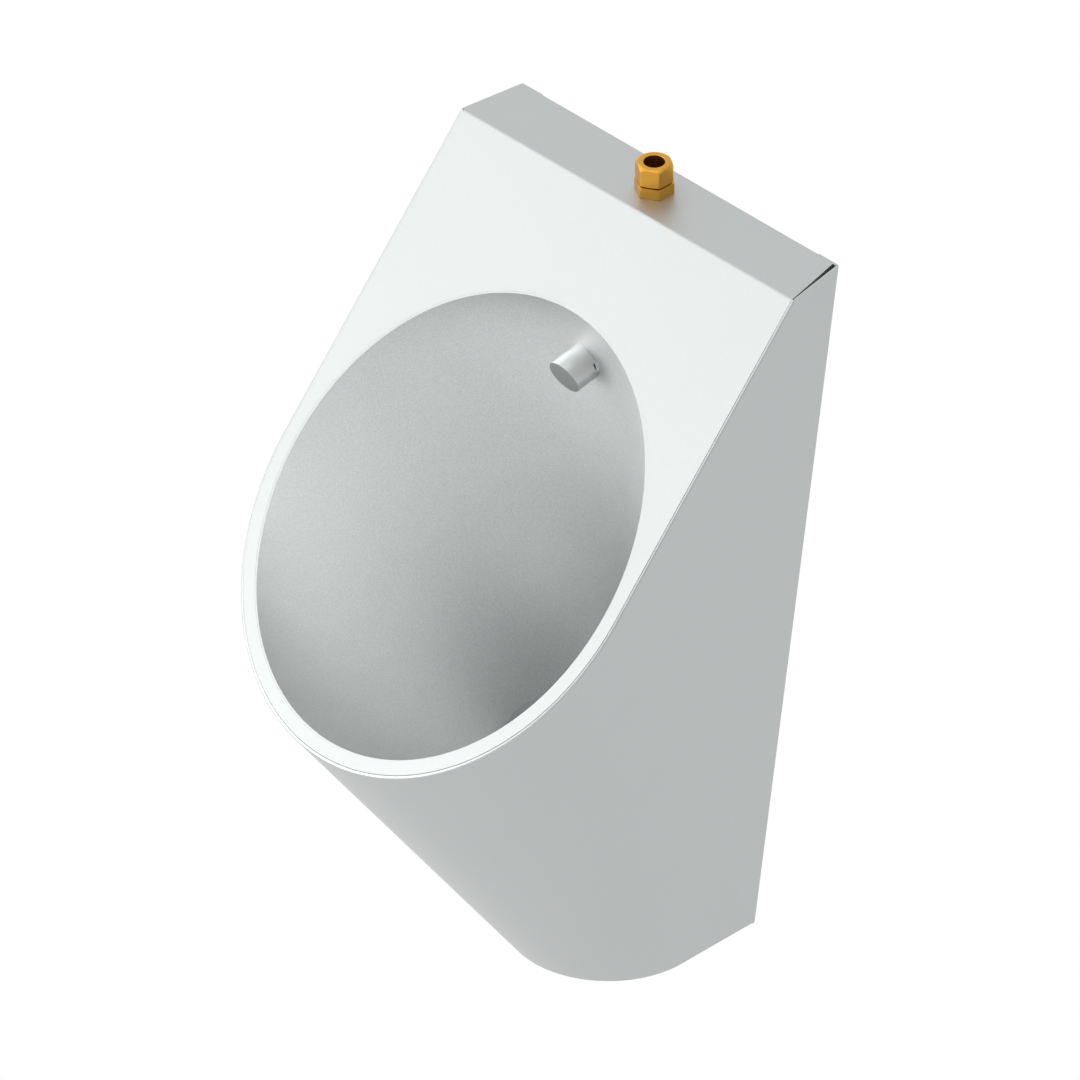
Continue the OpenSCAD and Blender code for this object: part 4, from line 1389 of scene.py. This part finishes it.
def waste_body():
    """Flange with its seat for the strainer and its threaded tail."""
    low, high = span("waste_body", "z")
    flange_low, seat = high - 3.6 * MM, high - 2.3 * MM
    outline = [(waste_bore, low + 0.4 * MM), (waste_bore + 0.4 * MM, low), (waste_radius - 0.6 * MM, low)]
    outline += threaded(waste_radius, low + 18 * MM, flange_low - 2 * MM, 2.1 * MM, 0.8 * MM)
    outline += [(waste_radius, flange_low), (flange_radius - 0.4 * MM, flange_low),
                (flange_radius, flange_low + 0.4 * MM)]
    outline += arc(flange_radius - 2.4 * MM, high - 2.4 * MM, 2.4 * MM, 0, 90, 8)
    outline += arc(strainer_radius + 0.9 * MM, high - 0.6 * MM, 0.6 * MM, 90, 180, 4)
    outline += [(strainer_radius + 0.3 * MM, seat), (waste_bore + 0.5 * MM, seat),
                (waste_bore, seat - 0.5 * MM)]
    return smooth(turned("waste_flange", outline, on_drain), 30)


dress(waste_body(), "waste_body")
plain_ring("waste_seal_ring", "waste_seal", seal_bore)
plain_ring("waste_gasket_ring", "waste_gasket", seal_bore, 0.8 * MM)
backnut_span = span("waste_backnut", "z")
dress(hexed("waste_nut", backnut_flats, *backnut_span, waste_radius, on_drain, (0.96, 2), (0.96, 2)),
      "waste_backnut")
print("the back nut is", round((backnut_span[1] - backnut_span[0]) / MM, 1), "mm high")

# %% [markdown]
# ## Bottle trap
# The trap is moulded plastic: a bottle with a dip tube inside, ribbed nuts to turn by hand, and a
# ribbed cup that screws off for cleaning. All its parts are turned, and the ribs are one cylinder
# repeated round a circle by Geometry Nodes.


# %% Ribs round a cup or nut
RIB_COUNT = 24


def rib_tree():
    """Sets upright ribs round a circle."""
    tree, given, result = new_tree("Ribs", [
        ("Count", "Int"), ("Ring radius", "Float"), ("Rib radius", "Float"), ("Height", "Float"),
        ("Material", "Material")])
    circle = tree.nodes.new("GeometryNodeMeshCircle")
    rib = tree.nodes.new("GeometryNodeMeshCylinder")
    rib.inputs["Vertices"].default_value = 12
    spots = tree.nodes.new("GeometryNodeInstanceOnPoints")
    link_all(tree, [
        (given["Count"], circle.inputs["Vertices"]), (given["Ring radius"], circle.inputs["Radius"]),
        (given["Rib radius"], rib.inputs["Radius"]), (given["Height"], rib.inputs["Depth"]),
        (circle.outputs[0], spots.inputs["Points"]), (rib.outputs[0], spots.inputs["Instance"])])
    end_tree(tree, spots.outputs[0], given, result)
    return tree


ribs = rib_tree()


def rib_ring(ring_radius, rib_radius, low, high, place):
    """Ribs between two heights of a round part."""
    piece = grow(make("Ribs", [], []), ribs, {
        "Count": RIB_COUNT, "Ring radius": ring_radius, "Rib radius": rib_radius, "Height": high - low,
        "Material": FINISHES["white_plastic"]})
    piece.data.transform(place @ Matrix.Translation((0, 0, (low + high) / 2)))
    return piece


print("the rib tree has", len(ribs.nodes), "nodes")

# %% [markdown]
# Water falls down the dip tube, turns at the bottom, and rises between tube and bottle to the
# spout, so some of it always stays below and keeps the drain's air out. Bottle, boss and dip tube
# are one closed outline, the spout is another, and each is cut open where the other enters it.

# %% The trap's bottle
trap_wall = 2.4 * MM
trap_radius = 33 * MM
trap_inner = trap_radius - trap_wall
bottle_low, bottle_top = 44 * MM, 109.1 * MM
bottle_round = 6 * MM
inner_round = 4 * MM
boss_radius, boss_top = 26.5 * MM, 125.05 * MM
boss_bore, boss_floor = 23.8 * MM, 113.7 * MM
dip_radius, dip_low = 14 * MM, 17.6 * MM
from_base = upright(drain.y, base_z)


def bottle():
    """The bottle with its dip tube and the boss above."""
    outline = [(trap_inner, bottle_low), (trap_radius - 0.3 * MM, bottle_low),
               (trap_radius, bottle_low + 0.3 * MM)]
    outline += threaded(trap_radius, bottle_low + 0.6 * MM, bottle_low + 13 * MM, 3.6 * MM, 0.5 * MM)
    outline += arc(trap_radius - bottle_round, bottle_top - bottle_round, bottle_round, 0, 80, 8)
    outline += [(boss_radius, bottle_top), (boss_radius, boss_top - 0.5 * MM),
                (boss_radius - 0.5 * MM, boss_top), (boss_bore, boss_top), (boss_bore, boss_floor),
                (dip_radius, boss_floor), (dip_radius, dip_low), (dip_radius + trap_wall, dip_low),
                (dip_radius + trap_wall, bottle_top - trap_wall)]
    outline += arc(trap_inner - inner_round, bottle_top - trap_wall - inner_round, inner_round, 90, 0)
    return turned("Bottle", outline, from_base)


print("the bottle is", round((boss_top - bottle_low) / MM, 1), "mm high")

# %% The trap's spout
outlet_frame = Matrix.Translation((0, 0, base_z + 84 * MM)) @ Matrix.Rotation(-math.pi / 2, 4, "X")
outlet_bore = 17.6 * MM
spout_low, spout_high = -82 * MM, -45 * MM
spout_radius = 22.45 * MM
spout_socket = 20.05 * MM
spout_floor = spout_high - 14.6 * MM


def trap_body():
    """Bottle and spout, opened into each other."""
    edge = 0.4 * MM
    spout = turned("Spout", [
        (outlet_bore, spout_low), (spout_radius, spout_low), (spout_radius, spout_high - edge),
        (spout_radius - edge, spout_high), (spout_socket, spout_high), (spout_socket, spout_floor),
        (outlet_bore, spout_floor)], outlet_frame)
    window = turned("Window", column(0, outlet_bore - 0.1 * MM, -70 * MM, -50 * MM), outlet_frame)
    inside = turned("Inside", column(0, trap_inner - 0.02 * MM, 20 * MM, 104 * MM), from_base)
    return smooth(join("trap_bottle", cut(bottle(), window), cut(spout, inside)), 30)


trap = dress(trap_body(), "trap_body")
print("trap:", len(trap.data.polygons), "faces")

# %% [markdown]
# Each joint of the trap is a hand nut over a rubber washer. The nut is a cap with ribs for a wet
# hand, and the same function makes the one above the bottle and the one at the spout.

# %% Hand nuts, washers and outlet pipe
screw_gap = 0.3 * MM
outlet_radius = 20 * MM


def hand_nut(name, bore, body, low, high, place):
    """A ribbed plastic nut, open below, with a closed shoulder above."""
    inner = body + screw_gap
    outer = inner + trap_wall
    outline = [(inner, low), (outer - 0.5 * MM, low), (outer, low + 0.5 * MM)]
    outline += arc(outer - 1.2 * MM, high - 1.2 * MM, 1.2 * MM, 0, 90, 4)
    outline += [(bore + 0.4 * MM, high), (bore, high - 0.4 * MM), (bore, high - trap_wall),
                (inner, high - trap_wall)]
    teeth = rib_ring(outer - 0.3 * MM, 1.1 * MM, low + 0.8 * MM, high - 2 * MM, place)
    return smooth(join(name, turned("Nut", outline, place), teeth), 30)


def outlet_pipe():
    """The pipe into the wall, with a small bead where it enters the spout's nut."""
    low, high = span("outlet_pipe", "y")
    outline = [(outlet_bore, low + 0.5 * MM), (outlet_bore + 0.5 * MM, low),
               (outlet_radius - 0.5 * MM, low), (outlet_radius, low + 0.5 * MM),
               (outlet_radius, -3 * MM)]
    outline += arc(outlet_radius, -1.5 * MM, 1.5 * MM, -90, 90, 8)
    outline += [(outlet_radius, high - 1 * MM), (outlet_radius - 1 * MM, high), (outlet_bore, high)]
    return smooth(turned("outlet_tube", outline, outlet_frame))


washer_low, washer_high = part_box("trap_outlet_washer")
washer_ring = slab_outline(20.3 * MM, (washer_high.x - washer_low.x) / 2, washer_low.y, washer_high.y,
                           0.5 * MM)
dress(hand_nut("trap_upper_nut", boss_bore, 26.2 * MM, 113.75 * MM, 130.75 * MM, from_base),
      "trap_inlet_nut")
plain_ring("trap_upper_washer", "trap_inlet_washer", boss_bore, 0.5 * MM)
dress(hand_nut("trap_back_nut", 20.3 * MM, spout_radius, *span("trap_outlet_nut", "y"), outlet_frame),
      "trap_outlet_nut")
dress(smooth(turned("trap_back_washer", washer_ring, outlet_frame)), "trap_outlet_washer")
dress(outlet_pipe(), "outlet_pipe")
print("the outlet pipe is", 2 * outlet_radius / MM, "mm wide")

# %% [markdown]
# The cup is the lowest part and comes off downwards for cleaning. It is a round bowl with a rounded
# floor, a ledge for its seal, and the same ribs as the nuts.

# %% The trap's cup
cup_round = 3 * MM
cup_ledge = 42 * MM


def trap_cup():
    """The trap's cup with ribs to turn it by."""
    low, high = span("trap_cup", "z")
    thread, ledge = trap_radius + screw_gap, base_z + cup_ledge
    outer = thread + trap_wall
    outline = [(0, low)] + arc(outer - cup_round, low + cup_round, cup_round, -90, 0)
    outline += [(outer, high - 0.5 * MM), (outer - 0.5 * MM, high), (thread, high), (thread, ledge),
                (trap_inner, ledge)]
    outline += arc(trap_inner - cup_round, low + trap_wall + cup_round, cup_round, 0, -90)
    teeth = rib_ring(outer - 0.1 * MM, 1.05 * MM, low + 4 * MM, high - 2 * MM, on_drain)
    return smooth(join("trap_bottle_cup", turned("Cup", outline + [(0, low + trap_wall)], on_drain), teeth),
                  30)


dress(trap_cup(), "trap_cup")
plain_ring("cup_seal_ring", "trap_cup_seal", 30.9 * MM, 0.5 * MM)
print("the cup's wall is", round(trap_wall / MM, 1), "mm thick")

# %% [markdown]
# ## Folded sheet and small fasteners
# The bracket, the rail and the earth tag are plain folded sheet, and the model's own solids already
# have their true shape. A copy is merged, its flat faces are joined, and its edges are rounded, as
# a press and a tumbler leave them.


# %% Copies of plain solids with rounded edges
def rounded_copy(name, node, width):
    """A copy of a node's solid with rounded edges."""
    obj = bpy.data.objects.new(name, frame["nodes"][node].data.copy())
    bpy.context.scene.collection.objects.link(obj)
    weld(obj, 5e-6)
    work = bmesh.new()
    work.from_mesh(obj.data)
    bmesh.ops.dissolve_limit(work, angle_limit=math.radians(2), verts=work.verts, edges=work.edges)
    work.to_mesh(obj.data)
    work.free()
    return dress(soften(obj, width), node)


for name, node, width in (("wall_hooks", "wall_bracket", 0.5 * MM),
                          ("hanging_rail", "hanger_rail", 0.4 * MM),
                          ("earth_lug", "earth_tag", 0.4 * MM)):
    print(name, "has", len(rounded_copy(name, node, width).data.polygons), "faces")

# %% [markdown]
# A metal body near water is bonded to earth. The bolt's axis lies across the body, so its pieces
# are turned upright as before, and their frame lays them down with their heights running to the
# left from the bolt's head.

# %% The earth bolt, its nut and its washers
bolt_low, bolt_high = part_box("earth_bolt")
bolt_middle = (bolt_low + bolt_high) / 2
bolt_length = bolt_high.x - bolt_low.x
bolt_frame = (Matrix.Translation((bolt_high.x, bolt_middle.y, bolt_middle.z))
              @ Matrix.Rotation(-math.pi / 2, 4, "Y"))
bolt_radius = 3 * MM
bolt_flats = 10 * MM
washer_wall = 1.2 * MM


def from_head(node):
    """Where a node begins and ends, counted along the bolt from its head."""
    low, high = span(node, "x", bolt_high.x)
    return -high, -low


def earth_bolt():
    """Hexagon head and threaded shank."""
    under_head = 3.5 * MM
    outline = [(0, under_head), (bolt_radius, under_head)]
    outline += threaded(bolt_radius, 4.5 * MM, bolt_length - 0.6 * MM, 1 * MM, 0.5 * MM)
    outline += [(bolt_radius - 0.8 * MM, bolt_length), (0, bolt_length)]
    hexagon = hexed("Head", bolt_flats, 0, 4 * MM, 0.5 * MM, bolt_frame, (0.95, 0.5), (0.93, 0.9))
    return smooth(join("earth_screw", hexagon, turned("Thread", outline, bolt_frame, 48)), 24)


def earth_washers():
    """One washer at each end of the pair's span."""
    low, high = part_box("earth_washers")
    first, last = from_head("earth_washers")
    rings = [slab_outline(3.3 * MM, (high.z - low.z) / 2, start, start + washer_wall, 0.2 * MM)
             for start in (first, last - washer_wall)]
    return smooth(join("earth_screw_washers", *[turned("Washer", ring, bolt_frame, 48) for ring in rings]))


dress(earth_bolt(), "earth_bolt")
dress(hexed("earth_screw_nut", bolt_flats, *from_head("earth_nut"), 3.05 * MM, bolt_frame,
            (0.95, 0.7), (0.95, 0.7)), "earth_nut")
dress(earth_washers(), "earth_washers")
print("the earth bolt is", round(bolt_length / MM, 1), "mm long")

# %% [markdown]
# ## Floor and backdrop
# A product picture stands on pure white. More light would only bleach the steel, so the floor keeps
# its own shading for light that bounces, and turns into plain white for the camera. Glossy and
# clear surfaces see that white too, which is what brightens the undersides of polished metal.

# %% A white floor that still takes a shadow
FLOOR_Z = -0.82
FLOOR_REACH = 8


def white_ground():
    """Shaded for bounced light, and white for camera, glossy and transmission rays."""
    material = bpy.data.materials.new("White floor")
    material.use_nodes = True
    tree = material.node_tree
    shader = tree.nodes["Principled BSDF"]
    shader.inputs["Base Color"].default_value = (0.8, 0.8, 0.8, 1)
    shader.inputs["Roughness"].default_value = 0.9
    glow = tree.nodes.new("ShaderNodeEmission")
    mix = tree.nodes.new("ShaderNodeMixShader")
    path = tree.nodes.new("ShaderNodeLightPath").outputs
    direct = maths(tree, "MAXIMUM", path["Is Camera Ray"], path["Is Glossy Ray"])
    link_all(tree, [
        (maths(tree, "MAXIMUM", direct, path["Is Transmission Ray"]), mix.inputs["Fac"]),
        (shader.outputs[0], mix.inputs[1]), (glow.outputs[0], mix.inputs[2]),
        (mix.outputs[0], tree.nodes["Material Output"].inputs["Surface"])])
    return material


floor_corners = [(x * FLOOR_REACH, y * FLOOR_REACH, FLOOR_Z) for x, y in ((-1, -1), (1, -1), (1, 1), (-1, 1))]
floor = make("floor", floor_corners, [(0, 1, 2, 3)])
floor.data.materials.append(white_ground())
print("floor at", FLOOR_Z, "m")

# %% [markdown]
# ## Light
# Satin steel shows its surroundings blurred, so each face of the body gets the brightness of what
# lies where it mirrors the camera. The sky does most of it: it fades from left to right, so the
# right side is darker than the front. A low box in front of the opening lights the bowl, the key
# and the upper left one lift the slope and the rolled edge, and the overhead one the flat top.

# %% Soft boxes
AIM = Vector((0, -0.15, -0.2))
BOX_DISTANCE = 2.5


def softbox(name, direction, size, radiance):
    """A square area lamp that looks at the object from a direction, with an even brightness."""
    light = bpy.data.lights.new(name, "AREA")
    light.shape = "SQUARE"
    light.size = size
    light.energy = radiance * math.pi * size * size
    obj = bpy.data.objects.new(name, light)
    bpy.context.scene.collection.objects.link(obj)
    way = Vector(direction).normalized()
    obj.location = AIM + way * BOX_DISTANCE
    obj.rotation_mode = "QUATERNION"
    obj.rotation_quaternion = (-way).to_track_quat("-Z", "Y")


softbox("Key", (-0.577, -0.618, 0.534), size=2.2, radiance=0.55)
softbox("Low front", (-0.45, -0.85, -0.05), size=1.8, radiance=5)
softbox("Upper left", (-0.9, -0.2, 0.9), size=1.6, radiance=0.6)
softbox("Overhead", (0.1, -0.15, 1), size=1.8, radiance=0.7)


# %% The sky
def sky(left, right):
    """A world that fades from the left to the right, and is plain white for the camera."""
    world = bpy.data.worlds.new("Soft sky")
    bpy.context.scene.world = world
    world.use_nodes = True
    tree = world.node_tree
    shade = tree.nodes["Background"]
    shade.inputs["Color"].default_value = (1, 1, 1, 1)
    place = tree.nodes.new("ShaderNodeTexCoord")
    parts = tree.nodes.new("ShaderNodeSeparateXYZ")
    fade = tree.nodes.new("ShaderNodeMapRange")
    for name, value in [("From Min", -1), ("From Max", 1), ("To Min", left), ("To Max", right)]:
        fade.inputs[name].default_value = value
    path = tree.nodes.new("ShaderNodeLightPath")
    seen = maths(tree, "MAXIMUM", fade.outputs["Result"], path.outputs["Is Camera Ray"])
    link_all(tree, [(place.outputs["Generated"], parts.inputs[0]),
                    (parts.outputs["X"], fade.inputs["Value"]), (seen, shade.inputs["Strength"])])
    return world


world = sky(left=1.09, right=0.64)
bpy.context.scene.view_settings.view_transform = "Standard"
print("world:", world.name)

# %% [markdown]
# ## Camera
# The picture is an isometric view: the camera looks along a cube's diagonal, from the front right
# and above, and parallel edges stay parallel. Its width in metres and its middle follow from the
# scale at which the body was measured.

# %% Isometric camera
VIEW_WIDTH = 0.74954
VIEW_MIDDLE = Vector((-0.1655, 0.0271, -0.3074))
CAMERA_REACH = 2
toward = Vector((1, -1, 1)).normalized()
camera = bpy.data.objects.new("Camera", bpy.data.cameras.new("Camera"))
bpy.context.scene.collection.objects.link(camera)
camera.data.type = "ORTHO"
camera.data.ortho_scale = VIEW_WIDTH
camera.data.clip_end = 30
camera.location = VIEW_MIDDLE + toward * CAMERA_REACH
camera.rotation_mode = "QUATERNION"
camera.rotation_quaternion = (-toward).to_track_quat("-Z", "Y")
bpy.context.scene.camera = camera
print("the view is", VIEW_WIDTH, "m wide")
